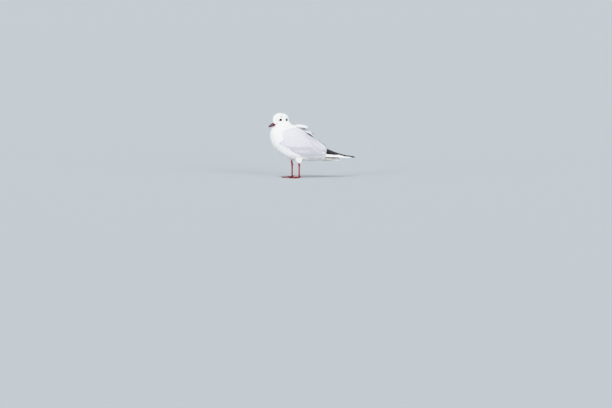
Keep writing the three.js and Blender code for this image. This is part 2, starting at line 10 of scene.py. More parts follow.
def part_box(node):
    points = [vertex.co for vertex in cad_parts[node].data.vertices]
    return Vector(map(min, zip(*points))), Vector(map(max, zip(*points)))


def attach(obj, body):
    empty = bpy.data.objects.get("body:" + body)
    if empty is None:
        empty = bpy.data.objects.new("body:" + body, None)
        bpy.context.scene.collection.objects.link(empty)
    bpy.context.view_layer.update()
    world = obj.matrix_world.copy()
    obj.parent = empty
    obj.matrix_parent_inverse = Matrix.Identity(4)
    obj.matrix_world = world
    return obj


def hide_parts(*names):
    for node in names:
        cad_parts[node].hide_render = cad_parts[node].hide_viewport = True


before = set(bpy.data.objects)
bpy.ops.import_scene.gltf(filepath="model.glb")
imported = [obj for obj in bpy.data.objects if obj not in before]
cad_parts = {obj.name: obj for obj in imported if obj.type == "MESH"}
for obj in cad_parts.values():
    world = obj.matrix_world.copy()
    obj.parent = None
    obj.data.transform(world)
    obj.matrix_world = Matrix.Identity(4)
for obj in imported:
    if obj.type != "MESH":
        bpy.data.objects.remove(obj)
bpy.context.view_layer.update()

# ---------------------------------------------------------------- skin
# The cured skin of the whole bird: head, neck, trunk, folded wings and thighs in one closed
# surface over the form inside. It lies under the coat by the depth of the feathers, so that
# their tips reach the bird's outline, and it carries the same markings as they do.

MM = 0.001
LEFT_EYE = Vector((14.784, -59.861, 206.6))  # its middle in mm, which ties the millimetres to the frame
eye_low, eye_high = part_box("eye_left")
origin = (eye_low + eye_high) / 2 - LEFT_EYE * MM


def at(x, y, z):
    """A place in millimetres from the floor below the bird's shoulders, as a place in the frame."""
    return origin + Vector((x, y, z)) * MM


def in_mm(places):
    """Places in the frame as millimetres, the opposite of at."""
    return (np.asarray(places, float) - np.array(origin)) * 1000


def select_only(piece):
    bpy.ops.object.select_all(action="DESELECT")
    piece.select_set(True)
    bpy.context.view_layer.objects.active = piece


def make_object(name, mesh):
    piece = bpy.data.objects.new(name, mesh)
    bpy.context.scene.collection.objects.link(piece)
    select_only(piece)
    return piece


def closed_copy(nodes, name, swell):
    """The CAD nodes' surfaces in one new object, each closed up, and swollen a little."""
    cast = bmesh.new()
    for node in nodes:
        cast.from_mesh(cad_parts[node].data)
    bmesh.ops.remove_doubles(cast, verts=cast.verts, dist=1e-6)
    cast.normal_update()
    for vertex in cast.verts:
        vertex.co += vertex.normal * swell
    mesh = bpy.data.meshes.new(name)
    cast.to_mesh(mesh)
    cast.free()
    return make_object(name, mesh)


def apply_modifier(piece, kind, **settings):
    modifier = piece.modifiers.new(kind.title(), kind)
    for key, value in settings.items():
        setattr(modifier, key, value)
    bpy.context.view_layer.objects.active = piece
    bpy.ops.object.modifier_apply(modifier=modifier.name)


def keep_largest(piece):
    """Drops every loose shell but the one with the most corners."""
    cast = bmesh.new()
    cast.from_mesh(piece.data)
    left, shells = set(cast.verts), []
    while left:
        shell, edge = set(), [left.pop()]
        while edge:
            vertex = edge.pop()
            shell.add(vertex)
            for link in vertex.link_edges:
                other = link.other_vert(vertex)
                if other in left:
                    left.discard(other)
                    edge.append(other)
        shells.append(shell)
    shells.sort(key=len)
    for shell in shells[:-1]:
        bmesh.ops.delete(cast, geom=list(shell), context="VERTS")
    cast.to_mesh(piece.data)
    cast.free()


def smooth_copy(nodes, name, swell, cell, rounds):
    """The CAD nodes' surfaces melted into one even surface with its edges rounded off."""
    piece = closed_copy(nodes, name, swell)
    apply_modifier(piece, "REMESH", mode="VOXEL", voxel_size=cell)
    keep_largest(piece)
    apply_modifier(piece, "SMOOTH", factor=0.5, iterations=rounds)
    return piece


# How the feathers lie, on the bird's left half (x >= 0): place in mm, direction they point,
# and length in mm. Between these places the lie and the length change gradually.
LIE_OF_COAT = np.array([
    (0, -83, 206, 0, 0.35, 1.0, 2.4),      # forehead, at the bill
    (0, -74, 224, 0, 0.8, 0.6, 3.2),
    (0, -53, 230, 0, 1, -0.05, 4.2),       # crown
    (0, -26, 214, 0, 0.5, -0.85, 6),       # hindhead
    (0, -17, 190, 0, 0.75, -0.5, 8),       # nape
    (17, -65, 198, 0, 1, -0.15, 3),        # lores and cheek
    (18, -52, 215, 0.02, 1, -0.12, 3.4),
    (20, -42, 205, 0, 0.85, -0.5, 4.4),    # ear coverts
    (17, -30, 200, -0.1, 0.7, -0.7, 6),
    (0, -82, 184, 0, 0.15, -1, 4),         # chin and throat
    (14, -74, 186, 0, 0.7, -0.6, 4.5),
    (0, -92, 165, 0, 0.05, -1, 7.5),       # breast
    (0, -91, 135, 0, 0.2, -1, 9),
    (0, -84, 105, 0, 0.6, -0.8, 10),
    (0, -60, 88, 0, 0.9, -0.35, 10.5),     # belly
    (0, 0, 60, 0, 1, -0.03, 11),
    (0, 50, 57, 0, 1, 0.02, 12),
    (0, 92, 58, 0, 1, 0.1, 13),            # vent, under the tail
    (28, -62, 178, 0.05, 0.55, -0.83, 7),  # side of the neck
    (25, -35, 182, 0, 0.8, -0.55, 7.5),
    (38, -82, 140, 0.1, 0.5, -0.86, 8.5),  # side of the breast
    (42, -50, 104, 0, 0.85, -0.5, 9.5),
    (45, -20, 88, 0, 0.95, -0.3, 10.5),    # flank
    (38, 25, 66, -0.1, 1, -0.12, 11.5),
    (20, 80, 62, -0.1, 1, 0.05, 13),
    (44, -66, 152, 0, 0.85, -0.5, 9),      # bend of the wing
    (49, -30, 140, 0, 0.92, -0.38, 13),
    (51, 0, 125, 0, 0.93, -0.36, 16),
    (44, 45, 105, 0, 0.94, -0.33, 22),
    (28, 85, 88, -0.1, 0.95, -0.28, 26),
    (0, -8, 188, 0, 0.95, -0.1, 13),       # back
    (0, 25, 175, 0, 0.85, -0.5, 17),
    (0, 60, 147, 0, 0.82, -0.56, 20),
    (0, 95, 118, 0, 0.8, -0.6, 20),        # rump
    (24, 5, 68, 0, 0.5, -0.85, 8),         # thighs
    (19, 7, 52, 0, 0.1, -1, 6),
    (19, -6, 60, 0, 0.1, -1, 6),
])


def lie_at(places):
    """Direction and length (mm) of the feathers at each place, the places in mm."""
    mirrored = LIE_OF_COAT * np.array([-1, 1, 1, -1, 1, 1, 1])
    guides = np.vstack([LIE_OF_COAT, mirrored])
    apart = np.linalg.norm(places[:, None, :] - guides[None, :, :3], axis=2)
    weight = 1 / (apart + 1.5) ** 3.5
    weight /= weight.sum(1, keepdims=True)
    return weight @ guides[:, 3:6], weight @ guides[:, 6]


def coat_depth(length):
    """How far the tips of feathers of this length stand off the skin, in mm."""
    return 0.18 + 0.058 * length


def between(value, start, end):
    """0 before start, 1 after end and a smooth step from one to the other."""
    t = np.clip((value - start) / (end - start), 0, 1)
    return t * t * (3 - 2 * t)


# The border of each folded wing in mm, by place along the bird: the height of its lower edge,
# and how far its upper edge lies from the middle of the back. Its front edge goes by height.
WING_LOWER_EDGE = ([-80, -50, -20, 10, 38, 70, 101], [128, 111, 97, 78, 65, 63, 68])
WING_UPPER_EDGE = ([-62, -30, 10, 41, 73, 114], [33, 30, 27, 19, 12, 5])
WING_FRONT_EDGE = ([126, 140], [-83, -66.5])

COAT_WHITE = np.array([0.925, 0.925, 0.915])
COAT_CREAM = np.array([0.92, 0.912, 0.89])
GREY_VANE = np.array([0.625, 0.62, 0.65])
DUSKY_MARKS = (
    # place in mm, radius in mm, tone, strength
    ((19, -40.6, 208.5), 7.4, (0.045, 0.043, 0.045), 1.0),  # ear spot
    ((17.5, -38, 214), 6, (0.3, 0.3, 0.31), 0.35),          # smoke above the ear spot
    ((15, -60.5, 216.5), 6.5, (0.30, 0.30, 0.31), 0.75),    # over the eye
    ((9, -56, 226), 8, (0.36, 0.36, 0.37), 0.55),           # crown
    ((14.5, -68, 205), 4.0, (0.10, 0.10, 0.10), 0.7),       # before the eye
)


def plumage(places):
    """The colour of the coat at each place in mm: white, pale grey above, small dusky marks."""
    x, y, z = np.abs(places[:, 0]), places[:, 1], places[:, 2]
    belly = between(-z, -105, -70) * between(y, -60, -10)
    colour = COAT_WHITE + (COAT_CREAM - COAT_WHITE) * belly[:, None]
    lower_edge = np.interp(y, *WING_LOWER_EDGE)
    upper_edge = np.interp(y, *WING_UPPER_EDGE)
    front = np.interp(z, *WING_FRONT_EDGE)
    wing = between(y - front, -1, 1) * between(z - lower_edge, -1, 1) * between(x - upper_edge, -2, 2)
    mantle = between(y, -14, -6) * between(z - lower_edge, 0, 3)
    grey_part = np.clip(np.maximum(wing, mantle), 0, 1) * between(-y, -116, -108)
    colour += (GREY_VANE - colour) * grey_part[:, None]
    for mark, radius, tone, strength in DUSKY_MARKS:
        apart = np.linalg.norm(np.stack([x, y, z], 1) - np.array(mark), axis=1)
        share = strength * (1 - between(apart, radius * 0.35, radius))
        colour += (np.array(tone) - colour) * share[:, None]
    return colour


def paint(mesh, colours):
    """Writes one colour to each corner point of the mesh, as its plumage."""
    layer = mesh.color_attributes.new("plumage", "FLOAT_COLOR", "POINT")
    opaque = np.column_stack([colours, np.ones(len(colours))])
    layer.data.foreach_set("color", opaque.ravel().astype(np.float32))


def move_points(mesh, places):
    mesh.vertices.foreach_set("co", places.ravel())
    mesh.update()


def points_of(mesh):
    places = np.zeros(len(mesh.vertices) * 3)
    mesh.vertices.foreach_get("co", places)
    return places.reshape(-1, 3)


def normals_of(mesh):
    normals = np.zeros(len(mesh.vertices) * 3, np.float32)
    mesh.vertex_normals.foreach_get("vector", normals)
    return normals.reshape(-1, 3).astype(float)


def unit(directions):
    return directions / np.linalg.norm(directions, axis=-1, keepdims=True)


def nodes_and_links(name):
    material = bpy.data.materials.new(name)
    material.use_nodes = True
    tree = material.node_tree
    return material, tree.nodes, tree.links, tree.nodes["Principled BSDF"]


def set_inputs(node, **values):
    """Sets a node's input sockets by name, so that Sheen_Weight=0.1 sets Sheen Weight."""
    for name, value in values.items():
        node.inputs[name.replace("_", " ")].default_value = value


def add_noise(nodes, links, vector, scale, detail):
    noise = nodes.new("ShaderNodeTexNoise")
    set_inputs(noise, Scale=scale, Detail=detail)
    links.new(vector, noise.inputs["Vector"])
    return noise.outputs["Fac"]


def add_range(nodes, links, value, **limits):
    shade = nodes.new("ShaderNodeMapRange")
    set_inputs(shade, **limits)
    links.new(value, shade.inputs["Value"])
    return shade.outputs["Result"]


def add_bump(nodes, links, surface, height, strength, distance):
    bump = nodes.new("ShaderNodeBump")
    set_inputs(bump, Strength=strength, Distance=distance)
    links.new(height, bump.inputs["Height"])
    links.new(bump.outputs["Normal"], surface.inputs["Normal"])


def add_ramp(nodes, links, value, *stops):
    """A colour ramp from the value. Stops are positions and colours: first, last, any between."""
    ramp = nodes.new("ShaderNodeValToRGB")
    elements = ramp.color_ramp.elements
    for index, (position, colour) in enumerate(stops):
        stop = elements[index] if index < 2 else elements.new(position)
        stop.position = position
        stop.color = (*colour, 1)
    links.new(value, ramp.inputs["Fac"])
    return ramp.outputs["Color"]


def plumage_tone(nodes):
    tone = nodes.new("ShaderNodeVertexColor")
    tone.layer_name = "plumage"
    return tone.outputs["Color"]


def object_place(nodes):
    return nodes.new("ShaderNodeTexCoord").outputs["Object"]


def tint_surface(nodes, links, surface, colour, share):
    """Gives the surface the colour, made lighter or darker by the share."""
    tinted = nodes.new("ShaderNodeVectorMath")
    tinted.operation = "SCALE"
    links.new(colour, tinted.inputs[0])
    links.new(share, tinted.inputs["Scale"])
    links.new(tinted.outputs["Vector"], surface.inputs["Base Color"])


FLESH = ["head", "neck", "trunk", "wing_left", "wing_right", "thigh_left", "thigh_right"]
skin = smooth_copy(FLESH, "skin", swell=0.00026, cell=0.0016, rounds=10)
outline_points = in_mm(points_of(skin.data))
_, lengths_here = lie_at(outline_points)
sunk = points_of(skin.data) - normals_of(skin.data) * coat_depth(lengths_here)[:, None] * MM
move_points(skin.data, sunk)
apply_modifier(skin, "SMOOTH", factor=0.5, iterations=3)
select_only(skin)
bpy.ops.object.shade_smooth()
bpy.ops.object.mode_set(mode="EDIT")
bpy.ops.mesh.select_all(action="SELECT")
bpy.ops.uv.smart_project(angle_limit=math.radians(72), island_margin=0.004)
bpy.ops.object.mode_set(mode="OBJECT")
skin.data.uv_layers[0].name = "OFBake"

skin_places = points_of(skin.data)
paint(skin.data, plumage(in_mm(skin_places)))
skin_faces = [tuple(face.vertices) for face in skin.data.polygons]
skin_tree = BVHTree.FromPolygons(skin_places.tolist(), skin_faces)
vertex_normals = normals_of(skin.data)
face_normals = unit(np.array([vertex_normals[list(face)].mean(0) for face in skin_faces]))
uv_values = np.zeros(len(skin.data.loops) * 2)
skin.data.uv_layers["OFBake"].data.foreach_get("uv", uv_values)
uv_values = uv_values.reshape(-1, 2)
face_uvs = np.array([uv_values[face.loop_start:face.loop_start + face.loop_total].mean(0)
                     for face in skin.data.polygons])

skin_material, nodes, links, surface = nodes_and_links("cured skin")
pores = add_noise(nodes, links, object_place(nodes), scale=900, detail=4)
add_bump(nodes, links, surface, pores, strength=0.4, distance=0.0004)
links.new(plumage_tone(nodes), surface.inputs["Base Color"])
set_inputs(surface, Roughness=0.85)
skin.data.materials.append(skin_material)
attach(skin, "root")
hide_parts(*FLESH)

# ---------------------------------------------------------------- body feathers
# The small contour feathers of the head, neck, breast, belly, back and thighs: rounded vanes
# that grow from the skin and lie back over one another like tiles, each held by its own root.

chance = np.random.default_rng(7)


def nearest_on_skin(places):
    """For places in the frame: the nearest skin points, normals and faces."""
    found = np.zeros((len(places), 3))
    faces = np.zeros(len(places), int)
    for i, spot in enumerate(places):
        hit, _, index, _ = skin_tree.find_nearest(spot)
        found[i] = hit
        faces[i] = index
    return found, face_normals[faces], faces


def scattered_roots(spacing_at, wanted):
    """Roots spread evenly over the skin, the spacing in mm by place, where they are wanted."""
    skin.data.calc_loop_triangles()
    corners = np.zeros(len(skin.data.loop_triangles) * 3, int)
    skin.data.loop_triangles.foreach_get("vertices", corners)
    a, b, c = (skin_places[corners.reshape(-1, 3)[:, k]] for k in range(3))
    area = np.linalg.norm(np.cross(b - a, c - a), axis=1) / 2 * 1e6
    middle = in_mm((a + b + c) / 3)
    spacing = spacing_at(middle)
    share = area / spacing ** 2 * wanted(middle)
    count = int(share.sum() * 4)
    picked = chance.choice(len(area), count, p=share / share.sum())
    u, v = chance.random((2, count))
    over = u + v > 1
    u[over], v[over] = 1 - u[over], 1 - v[over]
    places = a[picked] + (b - a)[picked] * u[:, None] + (c - a)[picked] * v[:, None]
    gaps = spacing[picked]
    taken, kept = {}, []
    for i, (spot, gap) in enumerate(zip(places * 1000, gaps)):
        band = round(math.log(gap) * 5)
        cell = math.exp(band / 5)
        ix, iy, iz = (int(math.floor(value / cell)) for value in spot)
        near = [other for dx in (-1, 0, 1) for dy in (-1, 0, 1) for dz in (-1, 0, 1)
                for other in taken.get((band, ix + dx, iy + dy, iz + dz), ())]
        if all(sum((here - there) ** 2 for here, there in zip(spot, other)) >= cell * cell for other in near):
            taken.setdefault((band, ix, iy, iz), []).append(spot)
            kept.append(i)
    return places[kept]


def turned(direction, normal, angle):
    """The directions turned about the normals by the angles."""
    across = np.cross(normal, direction)
    return direction * np.cos(angle)[:, None] + across * np.sin(angle)[:, None]


def tangent(direction, normal):
    flat = direction - normal * (direction * normal).sum(1, keepdims=True)
    return flat / np.maximum(np.linalg.norm(flat, axis=1, keepdims=True), 1e-9)


# A vane's outline: place along it, half-width, and height over the skin as a share of the
# coat's depth. The root is tucked in and the tip is round.
VANE = [(0.0, 0.30, -0.10), (0.28, 0.78, 0.30), (0.56, 0.98, 0.60),
        (0.78, 0.94, 0.82), (0.92, 0.68, 0.94), (0.985, 0.30, 0.99)]
STRAND = [(0.0, 0.55, -0.12), (0.38, 1.0, 0.42), (0.74, 0.74, 0.84)]
FLAT_SECTION = [(-1, 0.0), (0, 1.0), (1, 0.0), (0, -1.0)]
STRAND_SECTION = [(-1, -0.4), (0, 1.0), (1, -0.4)]

BRIGHTEST = 0.93  # no feather is whiter than this

# The strands of one soft feather: degrees off its middle and share of its length.
FAN = [(-24, 0.80), (-12, 0.95), (0, 1.0), (12, 0.93), (24, 0.82)]
SOFT_FEATHERS = {"outline": STRAND, "section": STRAND_SECTION, "fan": FAN,
                 "thick": 0.05, "droop": 0.0, "soft": 0.8}


def lay_feathers(name, roots, length, width, colours, outline, turn, thick, droop, soft,
                 section=FLAT_SECTION, fan=((0, 1.0),), loose=0.08, lift=1.0, lie=None, tilted=0.0):
    """Closed thin feathers lying over the skin, each one vane or a fan of strands. Sizes in mm."""
    each_fan = len(fan)
    fan_angles = np.tile([math.radians(degrees) for degrees, _ in fan], len(roots))
    angle = np.repeat(chance.normal(0, turn, len(roots)), each_fan) + fan_angles
    raised = np.repeat(1 + chance.normal(0, loose, len(roots)), each_fan)
    roll = np.repeat(chance.normal(tilted, 0.02, len(roots)), each_fan)
    shades = 1 + chance.normal(0, 0.008, len(roots) * each_fan)
    colours = np.repeat(colours, each_fan, axis=0) * shades[:, None]
    length = np.repeat(length, each_fan) * np.tile([share for _, share in fan], len(roots))
    length = length * (1 + chance.normal(0, 0.05 if each_fan > 1 else 0.02, len(length)))
    width = np.repeat(width, each_fan)
    lie = None if lie is None else np.repeat(lie, each_fan, axis=0)
    spot, normal, faces = nearest_on_skin(np.repeat(roots, each_fan, axis=0))
    guide, local_length = lie_at(in_mm(spot))
    depth = coat_depth(local_length) * lift
    along = turned(tangent(guide if lie is None else lie, normal), normal, angle)
    root_uv = face_uvs[faces]
    count = len(spot)
    vertices, patches, vanes, shading = [], [], [], []
    travelled = 0.0
    lean = along * chance.normal(0, 0.07, count)[:, None]
    lean = lean + np.cross(normal, along) * chance.normal(0, 0.07, count)[:, None]
    for place_along, half, height in outline:
        if place_along > travelled:
            step = length * (place_along - travelled) * MM
            spot, normal, _ = nearest_on_skin(spot + along * step[:, None])
            guide = lie_at(in_mm(spot))[0] if lie is None else lie
            along = turned(tangent(guide, normal), normal, angle)
            travelled = place_along
        across = np.cross(normal, along)
        crown = spot + normal * (depth * height * raised * MM)[:, None]
        side = across * (width * half * 0.0005)[:, None]
        sag = normal * (width * half * droop * MM)[:, None]
        tilt = normal * (width * half * 0.5 * roll * MM)[:, None]
        body = normal * ((thick + 0.01 * width) * (0.3 + 0.7 * half) * MM)[:, None]
        for edge, level in section:
            vertices.append(crown + side * edge - sag * abs(edge) + tilt * edge + body * level)
            patches.append(root_uv + np.array([edge * 0.0012 * half, (place_along - 0.5) * 0.0026]))
            vanes.append(np.column_stack([width * half * edge * 0.05, length * place_along * 0.1]))
            shading.append(-normal if level < -0.9 else normal + lean + across * edge * 0.25)
    shading.append(normal + lean)
    tip = spot + along * (length * (1 - travelled) * MM)[:, None]
    vertices.append(tip + normal * (depth * raised * 0.97 * MM)[:, None])
    patches.append(root_uv + np.array([0, 0.0013]))
    vanes.append(np.column_stack([np.zeros(count), length * 0.1]))
    rings, corners = len(outline), len(section)
    pattern = [tuple(range(corners))]
    for ring in range(rings - 1):
        for k in range(corners):
            here, there = ring * corners + k, ring * corners + (k + 1) % corners
            quad = (there, here, here + corners, there + corners)
            pattern.append(quad[1:] + quad[:1] if corners == 4 and k > 1 else quad)
    last = (rings - 1) * corners
    pattern += [(last + (k + 1) % corners, last + k, last + corners) for k in range(corners)]
    each = rings * corners + 1
    base = np.arange(count)[:, None] * each
    faces_out = [face for part in pattern for face in (base + np.array(part)[None, :]).tolist()]
    mesh = bpy.data.meshes.new(name)
    mesh.from_pydata(np.stack(vertices, 1).reshape(-1, 3).tolist(), [], faces_out)
    finish_coat(mesh, np.stack(patches, 1).reshape(-1, 2), np.stack(vanes, 1).reshape(-1, 2),
                np.repeat(np.clip(colours, 0, BRIGHTEST), each, axis=0))
    smooth = unit(np.stack(shading, 1).reshape(-1, 3))
    smooth = normals_of(mesh) * (1 - soft) + smooth * soft
    mesh.normals_split_custom_set_from_vertices(unit(smooth).tolist())
    return make_object(name, mesh)


def finish_coat(mesh, patch_uv, vane_uv, colours):
    """Both UV maps, the plumage colours and smooth shading of a coat piece."""
    order = np.zeros(len(mesh.loops), int)
    mesh.loops.foreach_get("vertex_index", order)
    for map_name, values in (("OFBake", np.maximum(patch_uv, 0)), ("vane", vane_uv)):
        layer = mesh.uv_layers.new(name=map_name)
        layer.data.foreach_set("uv", values[order].ravel())
    paint(mesh, colours)
    mesh.polygons.foreach_set("use_smooth", np.ones(len(mesh.polygons), bool))
    mesh.update()


def feather_material(name, roughness, barbs=26.0, depth=0.00006, sheen=0.15):
    """Vanes tinted by their plumage, with fine slanting barbs off a middle shaft."""
    material, nodes, links, surface = nodes_and_links(name)
    vane = nodes.new("ShaderNodeUVMap")
    vane.uv_map = "vane"
    parts = nodes.new("ShaderNodeSeparateXYZ")
    links.new(vane.outputs["UV"], parts.inputs["Vector"])

    def sum_of(operation, first, second=None):
        node = nodes.new("ShaderNodeMath")
        node.operation = operation
        for socket, value in zip(node.inputs, (first, second)):
            if hasattr(value, "is_output"):
                links.new(value, socket)
            elif value is not None:
                socket.default_value = value
        return node.outputs[0]

    off_shaft = sum_of("ABSOLUTE", parts.outputs["X"])
    rise = sum_of("MULTIPLY", parts.outputs["Y"], barbs * 6.283)
    slant = sum_of("SUBTRACT", rise, sum_of("MULTIPLY", off_shaft, barbs * 7.5))
    ridges = sum_of("SINE", slant)
    clumps = add_noise(nodes, links, vane.outputs["UV"], scale=14, detail=3)
    shade = add_range(nodes, links, clumps, From_Min=0.3, From_Max=0.7, To_Min=0.955, To_Max=1.03)
    tint_surface(nodes, links, surface, plumage_tone(nodes), shade)
    relief = sum_of("ADD", sum_of("MULTIPLY", ridges, 0.5), sum_of("MULTIPLY", clumps, 1.6))
    add_bump(nodes, links, surface, relief, strength=0.55, distance=depth)
    set_inputs(surface, Roughness=roughness, Specular_IOR_Level=0.3, Sheen_Weight=sheen, Sheen_Roughness=0.5)
    return material


down_material = feather_material("soft contour feathers", roughness=0.8)

BARE_ROUND_EYE = 5.0
WING_END = 118
eye_centres = {
    side: in_mm([(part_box("eye_" + side)[0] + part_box("eye_" + side)[1]) / 2])[0]
    for side in ("left", "right")
}


def feathered(places):
    """1 where small feathers grow: all the skin but a ring round each eye."""
    keep = np.ones(len(places))
    for centre in eye_centres.values():
        keep *= np.linalg.norm(places - centre, axis=1) > BARE_ROUND_EYE
    return keep


def on_wing(places):
    """Where the stiff vanes of the folded wing cover the skin."""
    x, y, z = np.abs(places[:, 0]), places[:, 1], places[:, 2]
    behind_front = y > np.interp(z, *WING_FRONT_EDGE)
    over_lower_edge = z > np.interp(y, *WING_LOWER_EDGE)
    outside_back = x > np.interp(y, *WING_UPPER_EDGE)
    return behind_front & over_lower_edge & outside_back & (y < WING_END)


def on_mantle(places):
    """The middle of the back behind the white shoulders, where stiffer grey feathers grow."""
    y, z = places[:, 1], places[:, 2]
    return (y > -8) & (y < 112) & (z > 84) & ~on_wing(places)


def body_spacing(places):
    """Feathers grow closer where they are short: the spacing is a share of their length."""
    return 0.192 * lie_at(places)[1]


roots = scattered_roots(body_spacing, feathered)
root_mm = in_mm(roots)
roots = roots[~(on_wing(root_mm) | on_mantle(root_mm))]
root_mm = in_mm(roots)
root_length = lie_at(root_mm)[1] * chance.normal(1, 0.08, len(roots))
root_colours = plumage(root_mm + chance.normal(0, 0.4, root_mm.shape))
root_colours = root_colours * chance.normal(1, 0.010, (len(roots), 1))
x, y, z = root_mm.T
head = (z > 188) & (y < -15)
neck = (z > 152) & (y < -15) & ~head
back = (z > 88) & (y >= -15)
breast = (y < -38) & ~head & ~neck
belly = ~(head | neck | back | breast)
groups = {
    "coat_face_left": head & (x > 0) & (y < -52), "coat_face_right": head & (x <= 0) & (y < -52),
    "coat_hindhead_left": head & (x > 0) & (y >= -52), "coat_hindhead_right": head & (x <= 0) & (y >= -52),
    "coat_neck_left": neck & (x > 0), "coat_neck_right": neck & (x <= 0),
    "coat_breast": breast, "coat_back": back,
    "coat_belly_left": belly & (x > 0), "coat_belly_right": belly & (x <= 0),
}
for name, chosen in groups.items():
    piece = lay_feathers(name, roots[chosen], root_length[chosen] * 1.2, root_length[chosen] * 0.15,
                         root_colours[chosen], turn=0.07, **SOFT_FEATHERS)
    piece.data.materials.append(down_material)
    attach(piece, "root")

# ---------------------------------------------------------------- folded wings
# The outer side of each folded wing: rows of coverts, stiff smooth vanes each over the next,
# small along the front edge and longer towards the rear, then the secondaries under the
# greater coverts, and the broad tertials that close over the rump.

wing_material = feather_material("grey wing vanes", roughness=0.6, barbs=22.0, depth=0.00005, sheen=0.1)

# Long vanes rise from under the feathers before them within a quarter of their length, and
# then lie flat on top of the ones behind.
LONG_VANE = [(0.0, 0.35, -0.10), (0.10, 0.62, 0.35), (0.24, 0.84, 0.88), (0.42, 0.95, 1.0), (0.6, 1.0, 1.0),
             (0.75, 0.97, 1.0), (0.87, 0.84, 1.0), (0.95, 0.58, 1.0), (0.99, 0.27, 1.0)]

# The body under the wings, in mm by place along the bird: the height of its middle and of the
# back, and how far out the wing's lower edge lies.
BODY_AXIS = ([-93, -50, -20, 20, 60, 90, 121], [155, 137, 126, 115, 97, 83, 79])
BACK_LINE = ([-93, -50, -10, 5, 18, 41, 73, 96, 117], [178, 183, 188, 186, 179, 159, 138, 119.5, 98])
WING_OUTSIDE = 46


def on_wing_at(side, y, share):
    """A place on the wing's side of the skin, a share of the way from its lower to its upper edge."""
    axis_z = np.interp(y, *BODY_AXIS)
    low_z = np.interp(y, *WING_LOWER_EDGE)
    top_z = np.interp(y, *BACK_LINE) - 4
    start = math.atan2(low_z - axis_z, WING_OUTSIDE)
    end = math.atan2(top_z - axis_z, np.interp(y, *WING_UPPER_EDGE))
    angle = start + (end - start) * share
    outwards = Vector((side * math.cos(angle), 0, math.sin(angle)))
    hit = skin_tree.ray_cast(at(0, y, axis_z), outwards)[0]
    return hit if hit is not None else at(side * WING_OUTSIDE, y, low_z)


def tile_rows(side, y_from, y_to, share_from, share_to, first_step, growth):
    """Roots in staggered rows over part of the wing, the rows further apart towards the rear."""
    found, steps = [], []
    shares = np.linspace(share_from, share_to, 24)
    y, row = y_from, 0
    while y < y_to:
        step = first_step + growth * (y - y_from)
        line = [on_wing_at(side, y, share) for share in shares]
        run = np.concatenate([[0], np.cumsum([(b - a).length * 1000 for a, b in zip(line, line[1:])])])
        across = step * 1.12
        for place in np.arange((row % 2) * across / 2, run[-1], across):
            share = np.interp(place + chance.normal(0, 0.05 * across), run, shares)
            found.append(on_wing_at(side, y + chance.normal(0, 0.05 * step), share))
            steps.append(step)
        y += step
        row += 1
    return np.array(found), np.array(steps)


# The root line of the greater coverts, which the lesser coverts end above: place along the
# bird in mm and share up the wing.
GREATER_COVERT_ROOTS = ((-58, 0.02), (-50, 0.12), (-20, 0.26), (10, 0.38),
                        (46, 0.54), (66, 0.84), (80, 1.0))

for side, side_name in ((1, "left"), (-1, "right")):
    zones = (
        # name, y from and to, share from and to, first step, growth, lift
        ("lesser_coverts", -80, 112, 0.02, 0.74, 4.4, 0.034, 1.0),
        ("scapulars", -52, 100, 0.66, 0.98, 7.5, 0.036, 1.2),
    )
    for zone, y_from, y_to, share_from, share_to, first_step, growth, lift in zones:
        row_roots, steps = tile_rows(side, y_from, y_to, share_from, share_to, first_step, growth)
        keep = np.ones(len(steps), bool)
        if zone == "lesser_coverts":
            spots = in_mm(row_roots)
            last_row = in_mm([on_wing_at(side, y, share) for y, share in GREATER_COVERT_ROOTS])
            keep = on_wing(spots + np.array([0, 2.5, 0]))
            keep &= spots[:, 2] > np.interp(spots[:, 1], last_row[:, 1], last_row[:, 2])
        row_roots, steps = row_roots[keep], steps[keep]
        tint = plumage(in_mm(row_roots) + np.array([0, 4, 0]))
        tint = np.where(in_mm(row_roots)[:, 1:2] > -48, GREY_VANE, tint)
        tint = tint * chance.normal(1, 0.014, (len(steps), 1))
        piece = lay_feathers(zone + "_" + side_name, row_roots, steps * 2.5, steps * 1.22, tint,
                             outline=VANE, turn=0.05, loose=0.03, thick=0.07, droop=0.025,
                             lift=lift, soft=0.85)
        piece.data.materials.append(wing_material)
        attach(piece, "root")
    rows = (
        # name, feathers, y from and to, share up the wing from and to, length, width, lift
        ("secondaries", 16, -34, 60, 0.03, 0.34, 49, 13, 1.1),
        ("greater_coverts", 18, -54, 46, 0.13, 0.54, 38, 11.5, 1.4),
        ("tertials", 6, 34, 62, 0.34, 0.88, 53, 18, 1.6),
    )
    for row, count, y_from, y_to, share_from, share_to, row_length, row_width, lift in rows:
        steps = np.linspace(0, 1, count)
        row_roots = np.array([
            on_wing_at(side, y_from + (y_to - y_from) * t + chance.normal(0, 0.6),
                       share_from + (share_to - share_from) * t)
            for t in steps])
        tint = GREY_VANE * chance.normal(1, 0.015, (count, 1))
        lengths = np.full(count, float(row_length)) * chance.normal(1, 0.02, count)
        piece = lay_feathers(row + "_" + side_name, row_roots, lengths, np.full(count, float(row_width)),
                             tint, outline=LONG_VANE, turn=0.015, loose=0.02, thick=0.12, droop=0.012,
                             lift=lift, tilted=-0.16 * side, soft=0.85)
        piece.data.materials.append(wing_material)
        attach(piece, "root")

# ---------------------------------------------------------------- mantle
# The grey feathers down the middle of the back, between the scapulars: rounded vanes in
# staggered rows that lead from the white shoulders to the rump.

